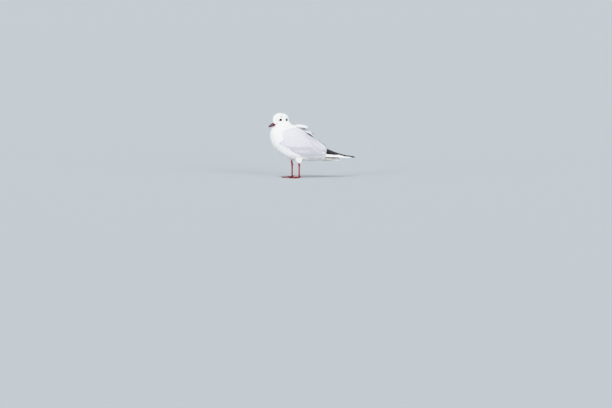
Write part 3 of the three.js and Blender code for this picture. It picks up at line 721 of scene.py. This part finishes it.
MANTLE_FRONT, MANTLE_REAR = -12, 108
ABOVE_BIRD = 240
found, steps = [], []
y, row = float(MANTLE_FRONT), 0
while y < MANTLE_REAR:
    step = 6.5 + 0.03 * (y - MANTLE_FRONT)
    reach = np.interp(y, *WING_UPPER_EDGE)
    for x in np.arange(-reach + (row % 2) * step * 0.56, reach, step * 1.12):
        above = at(x + chance.normal(0, 0.3), y + chance.normal(0, 0.4), ABOVE_BIRD)
        hit = skin_tree.ray_cast(above, Vector((0, 0, -1)))[0]
        if hit is not None:
            found.append(hit)
            steps.append(step)
    y += step * 0.8
    row += 1
found, steps = np.array(found), np.array(steps)
tint = GREY_VANE * chance.normal(1, 0.014, (len(steps), 1))
mantle = lay_feathers("mantle", found, steps * 2.6, steps * 1.25, tint, outline=VANE, turn=0.05, loose=0.03,
                      thick=0.07, droop=0.03, lift=0.85, soft=0.85)
mantle.data.materials.append(wing_material)
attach(mantle, "root")

# ---------------------------------------------------------------- primaries
# The long flight feathers of the hand, folded in a stack that tapers past the tail: black,
# the longest ones with a white outer web that ends short of their black tips.

# Places along a flight feather as shares of its length, closer together towards the tip.
STATIONS = 1 - (1 - np.linspace(0, 1, 16)) ** 1.6


def vane_shape(spine, up, left, right, thick, camber):
    """One closed vane along a spine: rings of ten points with a raised shaft. Sizes in mm."""
    along = unit(np.gradient(spine, axis=0))
    across = unit(np.cross(up, along))
    normal = np.cross(along, across)
    section = [(-1, 0), (-0.6, 0.5), (-0.09, 0.5), (0, 1.4), (0.09, 0.5), (0.6, 0.5), (1, 0),
               (0.5, -0.5), (0, -1.1), (-0.5, -0.5)]
    travelled = np.concatenate([[0], np.cumsum(np.linalg.norm(np.diff(spine, axis=0), axis=1))])
    points, maps, shares, tops = [], [], [], []
    for i in range(len(spine)):
        for edge, level in section:
            half = left[i] if edge < 0 else right[i]
            flat = min(1.0, half / 2.0)
            height = level * thick * flat - camber * half * edge * edge
            points.append(spine[i] + across[i] * edge * half + normal[i] * height)
            maps.append((edge * half * 0.1, travelled[i] * 0.1))
            shares.append((travelled[i] / travelled[-1], edge))
            tops.append(normal[i] * (-1 if level < -0.3 else 1) + across[i] * edge * 2 * camber)
    ring = len(section)
    faces = [tuple(reversed(range(ring)))]
    for i in range(len(spine) - 1):
        for k in range(ring):
            here, there = i * ring + k, i * ring + (k + 1) % ring
            faces.append((here, there, there + ring, here + ring))
    faces.append(tuple(range((len(spine) - 1) * ring, len(spine) * ring)))
    return {"points": np.array(points), "faces": faces, "maps": np.array(maps),
            "shares": np.array(shares), "tops": np.array(tops)}


def plain_spine(root, tip):
    """A straight line of places from root to tip in mm, closer together towards the tip."""
    return root + (tip - root) * STATIONS[:, None]


def quill_widths(stations, widest, point=0.35):
    """Half-widths along a flight feather: narrow at the quill, full in the middle, round at the tip."""
    tip = np.clip((1 - stations) / point, 0, 1)
    return widest * (0.30 + 0.70 * between(stations, 0.0, 0.3)) * np.sqrt(1 - (1 - tip) ** 2.2) + 0.12


def face_outwards(mesh):
    cast = bmesh.new()
    cast.from_mesh(mesh)
    bmesh.ops.recalc_face_normals(cast, faces=cast.faces)
    cast.to_mesh(mesh)
    cast.free()


def join_quills(name, quills, columns=5):
    """One mesh of several vanes and their tones, each with its own patch of the bake map."""
    places, faces, patches, vanes, colours, tops = [], [], [], [], [], []
    for index, (vane, tones) in enumerate(quills):
        base = sum(len(part) for part in places)
        faces += [tuple(base + corner for corner in face) for face in vane["faces"]]
        places.append(vane["points"])
        cell = np.array([index % columns, index // columns])
        along, edge = vane["shares"].T
        patches.append((cell + 0.08 + 0.84 * np.column_stack([(edge + 1) / 2, along])) / columns)
        vanes.append(vane["maps"])
        tops.append(vane["tops"])
        colours.append(np.broadcast_to(tones, vane["points"].shape))
    mesh = bpy.data.meshes.new(name)
    mesh.from_pydata([tuple(at(*point)) for point in np.vstack(places)], [], faces)
    finish_coat(mesh, np.vstack(patches), np.vstack(vanes), np.vstack(colours))
    face_outwards(mesh)
    smooth = normals_of(mesh) * 0.25 + np.vstack(tops) * 0.75
    mesh.normals_split_custom_set_from_vertices(unit(smooth).tolist())
    return make_object(name, mesh)


quill_material = feather_material("black and white quills", roughness=0.5, barbs=16.0, sheen=0.05)
QUILL_BLACK = np.array([0.050, 0.047, 0.051])
QUILL_WHITE = np.array([0.88, 0.875, 0.86])
QUILL_SMOKE = np.array([0.20, 0.205, 0.22])
UPPER_QUILLS = 8    # stacked one over the next, the longest lowest
UNDER_QUILLS = 2    # shorter black ones that show below the white webs, partly quills and partly a painted shadow line between wing and tail
WHITE_WEBS = 4      # the longest quills have a white outer web
LAYER_GAP = 0.45    # between one quill and the next, in mm
for side, side_name in ((1, "left"), (-1, "right")):
    quills = []
    for i in range(-UNDER_QUILLS, UPPER_QUILLS):
        t = max(i, 0) / (UPPER_QUILLS - 1)
        tip = np.array([side * (5.5 + 4.0 * t), 221 - 94 * t ** 0.82, 69.5 + 21 * t ** 1.25])
        root = np.array([side * (19 - 8 * t), 78, 76 + 20.5 * t])
        # the under quills: all black, partly quills and partly a painted shadow line between wing and tail
        if i < 0:
            tip = np.array([side * 6.0, 176 + 12 * i, 67.5])
            root = np.array([side * 15, 84, 73.0 + 0.6 * i])
        up = unit(np.array([side * 0.72, 0, 0.69]))
        rise = np.sin(math.pi * STATIONS) * 1.5 + LAYER_GAP * max(i, 0)
        spine = plain_spine(root, tip) + up * rise[:, None]
        outer = quill_widths(STATIONS, 4.4 + 1.6 * t, 0.3)
        inner = quill_widths(STATIONS, 6.2 + 2.0 * t, 0.22)
        if i < 0:
            outer, inner = outer * 0.5, inner * 0.5
        left, right = (outer, inner) if side > 0 else (inner, outer)
        vane = vane_shape(spine, up, left, right, 0.34, camber=0.08)
        along, edge = vane["shares"].T
        whiteness = between(-side * edge, 0.02, 0.10) * (1 - between(along, 0.86, 0.90))
        whiteness = whiteness * (0 <= i < WHITE_WEBS)
        tones = QUILL_BLACK + (QUILL_WHITE - QUILL_BLACK) * whiteness[:, None]
        worn_tip = between(along, 0.965, 0.985) * (0.5 if i > 2 else 0)
        tones = tones + (QUILL_SMOKE - tones) * worn_tip[:, None]
        quills.append((vane, tones))
    primaries = join_quills("primary_quills_" + side_name, quills)
    primaries.data.materials.append(quill_material)
    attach(primaries, "root")
    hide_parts("primaries_" + side_name)

# ---------------------------------------------------------------- tail
# Twelve white tail feathers, closed over one another with the middle pair on top, rooted
# under the rump.

quills = []
for pair in range(6):
    for side in (1, -1):
        t = pair / 5
        root = np.array([side * (2 + 5 * t), 86, 70.0 - 2.2 * t])
        tip = np.array([side * (3 + 14 * t), 160.5 - 3 * t * t, 62.6 - 2.8 * t])
        up = unit(np.array([side * 0.12 * t, 0, 1.0]))
        half = quill_widths(STATIONS, 6.8, 0.16)
        vane = vane_shape(plain_spine(root, tip), up, half, half, 0.28, camber=0.06)
        quills.append((vane, QUILL_WHITE * (0.97 + 0.03 * chance.random())))
tail = join_quills("tail_quills", quills)
tail.data.materials.append(quill_material)
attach(tail, "root")
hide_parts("tail")

# ---------------------------------------------------------------- tail coverts
# Soft white feathers that close the joint of the tail: long ones below it from the vent and
# shorter ones above it from the rump, each over the roots of the next.

quills = []
for under, number, reach, root_z, tip_z, wide in (
    # below the tail or above it, feathers, reach to the rear, heights of root and tip, half-width
    (True, 7, 150, 61.5, 58.0, 15), (True, 6, 140, 60.5, 58.6, 14), (True, 7, 128, 60.5, 57.0, 12),
    (False, 6, 139, 73, 67.5, 11), (False, 5, 128, 78, 71.0, 10),
):
    facing, root_y, curl = (-1.0, 92, 1.5) if under else (1.0, 96, -2.5)
    for i in range(number):
        s = 2 * i / (number - 1) - 1
        root = np.array([s * wide * 0.55, root_y, root_z + curl * s * s])
        tip = np.array([s * wide + chance.normal(0, 0.4), reach - 7 * s * s + chance.normal(0, 1.5),
                        tip_z + curl * s * s])
        up = unit(np.array([s * 0.5 * facing, 0, facing]))
        half = quill_widths(STATIONS, 5.2, 0.45)
        vane = vane_shape(plain_spine(root, tip), up, half, half, 0.16, camber=0.10)
        quills.append((vane, QUILL_WHITE * (0.98 + 0.02 * chance.random())))
tail_coverts = join_quills("tail_coverts", quills, columns=6)
tail_coverts.data.materials.append(down_material)
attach(tail_coverts, "root")

# ---------------------------------------------------------------- lifted back feathers
# Two groups of loose back feathers that the wind has lifted: they grow from the mantle and
# from the scapulars, stand off the back and curve down again to their tips.

# The lowest layers of each group are painted grey and dark brown-grey: painted shade in the hollow under the
# lifted feathers.
LIFTED = (
    # name, root, tip, spread, sideways, arch, node, top colour, painted shade colour of the lowest layers
    ("mantle_tuft", (-3, -12, 183), (-3, 45, 181.5), 19, 2, 4, "mantle_feathers",
     (0.90, 0.90, 0.90), (0.52, 0.54, 0.57)),
    ("scapular_tuft", (-4, 12, 168), (-5, 75, 151), 17, 0, 8, "scapular_feathers",
     (0.90, 0.91, 0.93), (0.24, 0.225, 0.22)),
)
# The layers of one group from the lowest up: height in mm, share of the reach, feathers.
LAYERS = ((-3.2, 0.86, 7), (-1.8, 0.92, 8), (0.2, 0.98, 9), (1.4, 0.98, 9), (2.4, 0.86, 8), (3.0, 0.66, 7))
SHADE_PAINTED_LAYERS = 2     # the lowest layers are painted in shade tones for the shade under the lifted feathers, and are narrower and a little to one side
LIFTED_WIDTH = 14
for name, root, tip, spread, sideways, arch, node, top_tone, painted_shade_tone in LIFTED:
    quills = []
    for layer, (level, reach, number) in enumerate(LAYERS):
        # the lowest layers take the painted shade tone
        dark = layer < SHADE_PAINTED_LAYERS
        wide, aside = (spread * 0.82, 3) if dark else (spread, 0)
        for i in range(number):
            s = 2 * (i + 0.5 * (layer % 2)) / number - 1 + 0.5 / number + chance.normal(0, 0.03)
            start = np.array(root) + np.array([s * wide * 0.7 + aside, 0, -2.5 * s * s])
            stop = np.array(tip) + np.array([s * wide + sideways + aside,
                                             -9 * s * s + chance.normal(0, 2.0), -6 * s * s])
            stop = start + (stop - start) * reach
            up = unit(np.array([s * 0.35 + chance.normal(0, 0.08), 0, 1.0]))
            rise = np.sin(math.pi * STATIONS) * arch + level * between(STATIONS, 0.1, 0.8)
            spine = plain_spine(start, stop) + up * rise[:, None]
            spine[:, 0] += chance.normal(0, 1.2) * STATIONS ** 2
            half = quill_widths(STATIONS, LIFTED_WIDTH / 2 * (1 + chance.normal(0, 0.06)), 0.42)
            vane = vane_shape(spine, up, half, half, 0.13, camber=0.12)
            quills.append((vane, np.array(painted_shade_tone if dark else top_tone) * (1 + chance.normal(0, 0.02))))
    tuft = join_quills(name, quills, columns=7)
    tuft.data.materials.append(wing_material)
    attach(tuft, "root")
    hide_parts(node)

# ---------------------------------------------------------------- eyes
# Glass eyes set in the sockets: a dark brown ball with a black pupil and a clear polished
# front, held by a thin rim of bare skin.

lid_material, nodes, links, surface = nodes_and_links("bare lid skin")
grain = add_noise(nodes, links, object_place(nodes), scale=2200, detail=4)
browns = add_ramp(nodes, links, grain, (0.0, (0.020, 0.010, 0.009)), (1.0, (0.045, 0.022, 0.020)))
links.new(browns, surface.inputs["Base Color"])
add_bump(nodes, links, surface, grain, strength=0.7, distance=0.0001)
set_inputs(surface, Roughness=0.55)

head_turn = math.radians(4.5)


def turned_with_head(direction):
    x, y, z = direction
    return Vector((x * math.cos(head_turn) - y * math.sin(head_turn),
                   x * math.sin(head_turn) + y * math.cos(head_turn), z))


EYE_RADIUS = 0.0044
CORNEA_FROM = 0.0030    # the clear front bulges from this far out
IRIS_REACH = 0.0042     # how far the pupil and the iris colour reach from the middle of the front
LID_RING = 0.00395
LID_THICKNESS = 0.00050
for side, sign in (("left", 1), ("right", -1)):
    centre = Vector(at(*eye_centres[side]))
    outward = turned_with_head(Vector((sign * 0.945, -0.30, 0.12))).normalized()
    facing = outward.to_track_quat("Z", "Y")
    bpy.ops.object.select_all(action="DESELECT")
    bpy.ops.mesh.primitive_uv_sphere_add(segments=48, ring_count=32, radius=EYE_RADIUS)
    ball = bpy.context.object
    ball.name = "eyeball_" + side
    for vertex in ball.data.vertices:
        if vertex.co.z > CORNEA_FROM:
            vertex.co.z += (vertex.co.z - CORNEA_FROM) * 0.18
        vertex.co = facing @ vertex.co + centre
    bpy.ops.object.shade_smooth()
    material, nodes, links, surface = nodes_and_links("glass eye " + side)
    distance = nodes.new("ShaderNodeVectorMath")
    distance.operation = "DISTANCE"
    distance.inputs[1].default_value = centre + outward * 0.0047
    links.new(object_place(nodes), distance.inputs[0])
    scaled = nodes.new("ShaderNodeMath")
    scaled.operation = "MULTIPLY"
    scaled.inputs[1].default_value = 1 / IRIS_REACH
    links.new(distance.outputs["Value"], scaled.inputs[0])
    rings = add_ramp(nodes, links, scaled.outputs[0],
                     (0.0, (0.003, 0.003, 0.003)), (1.0, (0.012, 0.006, 0.004)),
                     (0.46, (0.004, 0.003, 0.003)), (0.52, (0.016, 0.007, 0.004)))
    links.new(rings, surface.inputs["Base Color"])
    set_inputs(surface, Roughness=0.05, IOR=1.38)
    ball.data.materials.append(material)
    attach(ball, "root")
    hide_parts("eye_" + side)

    bpy.ops.object.select_all(action="DESELECT")
    bpy.ops.mesh.primitive_torus_add(major_segments=56, minor_segments=14, major_radius=LID_RING,
                                     minor_radius=LID_THICKNESS)
    lid = bpy.context.object
    lid.name = "eyelids_" + side
    for vertex in lid.data.vertices:
        around = math.atan2(vertex.co.y, vertex.co.x)
        spread = Vector((vertex.co.x, vertex.co.y, 0)).length - LID_RING
        ring = LID_RING + spread + (0.00018 * math.sin(9 * around) * 0.3 if spread > 0 else 0)
        squeeze = 1 - 0.10 * abs(math.sin(around)) + 0.05 * abs(math.cos(around)) ** 3
        flat = Vector((math.cos(around) * ring * squeeze, math.sin(around) * ring * squeeze, 0))
        flat.z = vertex.co.z * 0.9 + 0.00245 - 0.9 * (flat.length - 0.0036)
        vertex.co = facing @ flat + centre
    bpy.ops.object.shade_smooth()
    lid.data.materials.append(lid_material)
    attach(lid, "root")

    sprout, lie = [], []
    flat_axis = facing @ Vector((1, 0, 0))
    rise_axis = facing @ Vector((0, 1, 0))
    for ring, number in ((4.55, 34), (5.0, 38), (5.5, 42)):
        for k in range(number):
            around = 2 * math.pi * (k + 0.5 * (ring > 4.9)) / number
            away = flat_axis * math.cos(around) + rise_axis * math.sin(around)
            sprout.append(centre + outward * 0.003 + away * ring * MM)
            lie.append(np.array(away) * 0.55 + np.array([0, 0.9, -0.15]))
    rim = lay_feathers("eyelid_feathers_" + side, np.array(sprout), np.full(len(sprout), 2.0),
                       np.full(len(sprout), 0.42), plumage(in_mm(sprout)), turn=0.10,
                       lie=np.array(lie), lift=1.2, **SOFT_FEATHERS)
    rim.data.materials.append(down_material)
    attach(rim, "root")

# ---------------------------------------------------------------- bill
# The horny sheath of the bill, dark red and nearly black towards the hooked tip, set in the
# face with its cutting edges just apart. It has a slit nostril on each side: a shallow dent painted dark as
# painted shade.

bill_pitch = math.radians(21)
bill_forward = turned_with_head((0, -math.cos(bill_pitch), -math.sin(bill_pitch)))
bill_side = Vector((math.cos(head_turn), math.sin(head_turn), 0))
bill_up = bill_side.cross(bill_forward) * -1
HEAD_CENTRE = Vector((0, -53, 205))
gape = at(*(HEAD_CENTRE + turned_with_head((0, -13.5, -10))))
horn_material, nodes, links, surface = nodes_and_links("dark red horn")
mottle = add_noise(nodes, links, object_place(nodes), scale=420, detail=5)
shade = add_range(nodes, links, mottle, To_Min=0.72, To_Max=1.2)
tint_surface(nodes, links, surface, plumage_tone(nodes), shade)
add_bump(nodes, links, surface, mottle, strength=0.35, distance=0.00015)
set_inputs(surface, Roughness=0.33, Coat_Weight=0.25, Coat_Roughness=0.2)
HORN_RED = np.array([0.112, 0.006, 0.022])
HORN_BLACK = np.array([0.020, 0.009, 0.010])
RIM_RED = (0.15, 0.010, 0.022)
NOSTRIL = 17.5          # mm ahead of the corner of the mouth
NOSTRIL_DEPTH = 0.0011
for node in ("bill_upper", "bill_lower"):
    horn = smooth_copy([node], node + "_horn", swell=0.0004, cell=0.00032, rounds=9)
    places = points_of(horn.data)
    offset = places - np.array(gape)
    forward, sideways, upward = (offset @ np.array(axis) * 1000
                                 for axis in (bill_forward, bill_side, bill_up))
    if node == "bill_upper":
        places = places + np.array(bill_up) * (np.clip(upward, 0, 9) * 0.00018)[:, None]
        past = forward - NOSTRIL
        slit = np.exp(-((past / 2.6) ** 2 + ((upward - 2.1 + 0.10 * past) / 0.5) ** 2))
        inwards = -np.sign(sideways)[:, None] * np.array(bill_side)
        places = places + inwards * (NOSTRIL_DEPTH * slit)[:, None]
    move_points(horn.data, places)
    dark = between(forward, 23, 36)
    # painted shade: the nostril slit is painted dark for the shade inside the opening
    if node == "bill_upper":
        dark = np.maximum(dark, slit)
    paint(horn.data, HORN_RED + (HORN_BLACK - HORN_RED) * (dark * 0.92)[:, None])
    bpy.ops.object.shade_smooth()
    horn.data.materials.append(horn_material)
    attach(horn, "root")
    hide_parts(node)

# The soft corners of the mouth: a thin dark red rim that runs from the bill back into the cheek.
RIM_RINGS, RIM_SIDES = 15, 10
for side_name, sign in (("left", 1), ("right", -1)):
    rim_points, rim_normals = [], []
    for step in np.linspace(0, 1, RIM_RINGS):
        level = gape + bill_forward * (0.0130 - 0.0110 * step) + bill_up * (-0.0004 + 0.0008 * step)
        inward = bill_side * -sign
        hit, _, face, _ = skin_tree.ray_cast(level - inward * 0.03, inward)
        if hit is None or abs((hit - level) @ bill_side) < 0.0030:
            hit, face = level - inward * 0.0034, None
        rim_points.append(np.array(hit))
        rim_normals.append(np.array(-inward) if face is None else face_normals[face])
    rim_points, rim_normals = np.array(rim_points), np.array(rim_normals)
    along = unit(np.gradient(rim_points, axis=0))
    across = np.cross(rim_normals, along)
    ring_points, ring_faces = [], [tuple(reversed(range(RIM_SIDES)))]
    for i in range(RIM_RINGS):
        size = 1.35 * math.sqrt(max(1 - (i / (RIM_RINGS - 1)) ** 1.5, 0.02))
        for k in range(RIM_SIDES):
            around = 2 * math.pi * k / RIM_SIDES
            lip = 0.7 + 0.3 * abs(math.cos(around))
            sideways = across[i] * math.cos(around) * size * lip
            outwards = rim_normals[i] * (0.2 + math.sin(around) * size * 0.5)
            ring_points.append(rim_points[i] + (sideways + outwards) * MM)
    for here in range(0, (RIM_RINGS - 1) * RIM_SIDES, RIM_SIDES):
        there = here + RIM_SIDES
        for k in range(RIM_SIDES):
            following = (k + 1) % RIM_SIDES
            ring_faces.append((here + k, here + following, there + following, there + k))
    ring_faces.append(tuple(range((RIM_RINGS - 1) * RIM_SIDES, RIM_RINGS * RIM_SIDES)))
    mesh = bpy.data.meshes.new("gape_rim_" + side_name)
    mesh.from_pydata([tuple(point) for point in ring_points], [], ring_faces)
    face_outwards(mesh)
    paint(mesh, np.tile(RIM_RED, (len(mesh.vertices), 1)))
    rim = make_object("gape_rim_" + side_name, mesh)
    apply_modifier(rim, "SUBSURF", levels=1, render_levels=1)
    bpy.ops.object.shade_smooth()
    rim.data.materials.append(horn_material)
    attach(rim, "root")

# ---------------------------------------------------------------- legs and webbed feet
# Red scaly skin over the bare shanks and toes: broad scutes down the front of each shank, fine
# round scales elsewhere, thin rippled webs between the toes, and black claws set in their tips.


def scaly_material(name, colour, scale, roughness):
    """Blotched skin or horn, darker and sunk along the creases between small round scales."""
    material, nodes, links, surface = nodes_and_links(name)
    place = object_place(nodes)
    cells = nodes.new("ShaderNodeTexVoronoi")
    cells.feature = "DISTANCE_TO_EDGE"
    set_inputs(cells, Scale=scale)
    links.new(place, cells.inputs["Vector"])
    blotch = add_noise(nodes, links, place, scale=160, detail=4)
    red, green, blue = colour
    blotches = add_ramp(nodes, links, blotch, (0.3, (red * 0.55, green * 0.5, blue * 0.5)),
                        (0.68, (red * 1.15, green * 1.25, blue * 1.25)))
    crease = add_range(nodes, links, cells.outputs["Distance"], From_Max=0.12, To_Min=0.55)
    tint_surface(nodes, links, surface, blotches, crease)
    add_bump(nodes, links, surface, crease, strength=0.6, distance=0.00018)
    set_inputs(surface, Roughness=roughness)
    return material


shank_material = scaly_material("dark red scaly skin", (0.40, 0.045, 0.048), 1100, 0.42)
web_material = scaly_material("dark red webs", (0.32, 0.016, 0.019), 800, 0.45)
claw_material = scaly_material("black horn claws", (0.022, 0.017, 0.016), 500, 0.35)
SCUTE_PITCH = 2.3           # mm from one scute to the next
SCUTE_RELIEF = 0.00020
WEB_RELIEF = 0.00016
FLAT_SOLE = 0.3             # mm, below which the foot lies flat on the floor
for side_name in ("left", "right"):
    shank = smooth_copy(["shank_" + side_name], "shank_skin_" + side_name,
                        swell=0.0005, cell=0.00042, rounds=8)
    places, normals = points_of(shank.data), normals_of(shank.data)
    height = in_mm(places)[:, 2]
    front = np.clip(-normals[:, 1] * 1.6, 0, 1)
    wave = 1 - np.abs(((height / SCUTE_PITCH) % 1) * 2 - 1) ** 5
    places = places + normals * ((wave - 0.8) * front * SCUTE_RELIEF)[:, None]
    move_points(shank.data, places)
    bpy.ops.object.shade_smooth()
    shank.data.materials.append(shank_material)
    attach(shank, "root")
    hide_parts("shank_" + side_name)

    foot = smooth_copy(["foot_" + side_name], "webbed_foot_" + side_name,
                       swell=0.0003, cell=0.00045, rounds=3)
    places, normals = points_of(foot.data), normals_of(foot.data)
    spot = in_mm(places)
    low = spot[:, 2] < FLAT_SOLE
    places[low, 2] = 0.0
    upper = np.clip(normals[:, 2], 0, 1) * (spot[:, 2] < 3)
    ankle = in_mm([(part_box("shank_" + side_name)[0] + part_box("shank_" + side_name)[1]) / 2])[0][:2]
    away = np.linalg.norm(spot[:, :2] - ankle, axis=1)
    ripple = np.sin(away * 2.4 + 1.5 * np.sin(spot[:, 0] * 0.5))
    places[:, 2] += np.where(low, 0, upper * WEB_RELIEF * ripple)
    move_points(foot.data, places)
    bpy.ops.object.shade_smooth()
    foot.data.materials.append(web_material)
    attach(foot, "root")
    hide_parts("foot_" + side_name)

    hind_toe = smooth_copy(["hind_toe_" + side_name], "small_hind_toe_" + side_name,
                           swell=0.0005, cell=0.00035, rounds=3)
    bpy.ops.object.shade_smooth()
    hind_toe.data.materials.append(shank_material)
    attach(hind_toe, "root")
    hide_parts("hind_toe_" + side_name)

    for toe in ("inner", "middle", "outer"):
        claw = smooth_copy([f"claw_{toe}_{side_name}"], f"horn_claw_{toe}_{side_name}",
                           swell=0.0003, cell=0.00022, rounds=2)
        bpy.ops.object.shade_smooth()
        claw.data.materials.append(claw_material)
        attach(claw, "root")
        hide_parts(f"claw_{toe}_{side_name}")

# ---------------------------------------------------------------- camera, floor and light
# A plain pale floor under soft studio light: one high warm lamp and two wide low ones, in front
# and at the side. A long lens stands far off the bird's left side, 18 degrees towards its front
# and 4 degrees up.

view_back = Vector((0.9487, -0.3083, 0.0698)).normalized()
view_right = Vector((0.309, 0.951, 0)).normalized()
view_up = view_back.cross(view_right).normalized()
AIM_RIGHT, AIM_DOWN = 37.3, 93.7    # mm from the origin of the millimetres
CAMERA_AWAY = 12.07
aim = Vector(at(0, 0, 0)) + (view_right * AIM_RIGHT - view_up * AIM_DOWN) * MM
camera_data = bpy.data.cameras.new("camera")
camera_data.lens = 200
camera_data.sensor_width = 36
camera_data.clip_start = 0.1
camera_data.clip_end = 600
camera = bpy.data.objects.new("camera", camera_data)
camera.location = aim + view_back * CAMERA_AWAY
camera.rotation_euler = view_back.to_track_quat("Z", "Y").to_euler()
bpy.context.scene.collection.objects.link(camera)
bpy.context.scene.camera = camera

bpy.ops.object.select_all(action="DESELECT")
bpy.ops.mesh.primitive_plane_add(size=400)
floor = bpy.context.object
floor.name = "floor"
floor_material, nodes, links, surface = nodes_and_links("pale floor")
set_inputs(surface, Base_Color=(0.50, 0.53, 0.553, 1), Roughness=0.9)
floor.data.materials.append(floor_material)

world = bpy.data.worlds.new("studio")
world.use_nodes = True
set_inputs(world.node_tree.nodes["Background"], Color=(0.88, 0.94, 1.0, 1), Strength=0.68)
bpy.context.scene.world = world
bpy.context.scene.view_settings.view_transform = "Khronos PBR Neutral"

for name, azimuth, rise, energy, width, colour in (
    # name, degrees round from the bill, rise for each unit across, energy, degrees wide, colour
    ("key", 50, math.tan(math.radians(58)), 1.35, 14, (1.0, 0.975, 0.94)),
    ("front fill", 24, 0.11, 2.0, 36, (1.0, 0.985, 0.975)),
    ("side fill", 102, 0.11, 2.3, 36, (1.0, 0.985, 0.975)),
):
    lamp_data = bpy.data.lights.new(name, "SUN")
    lamp_data.energy = energy
    lamp_data.angle = math.radians(width)
    lamp_data.color = colour
    lamp = bpy.data.objects.new(name, lamp_data)
    around = math.radians(azimuth)
    lamp_from = Vector((math.sin(around), -math.cos(around), rise)).normalized()
    lamp.location = lamp_from * 3
    lamp.rotation_euler = lamp_from.to_track_quat("Z", "Y").to_euler()
    bpy.context.scene.collection.objects.link(lamp)
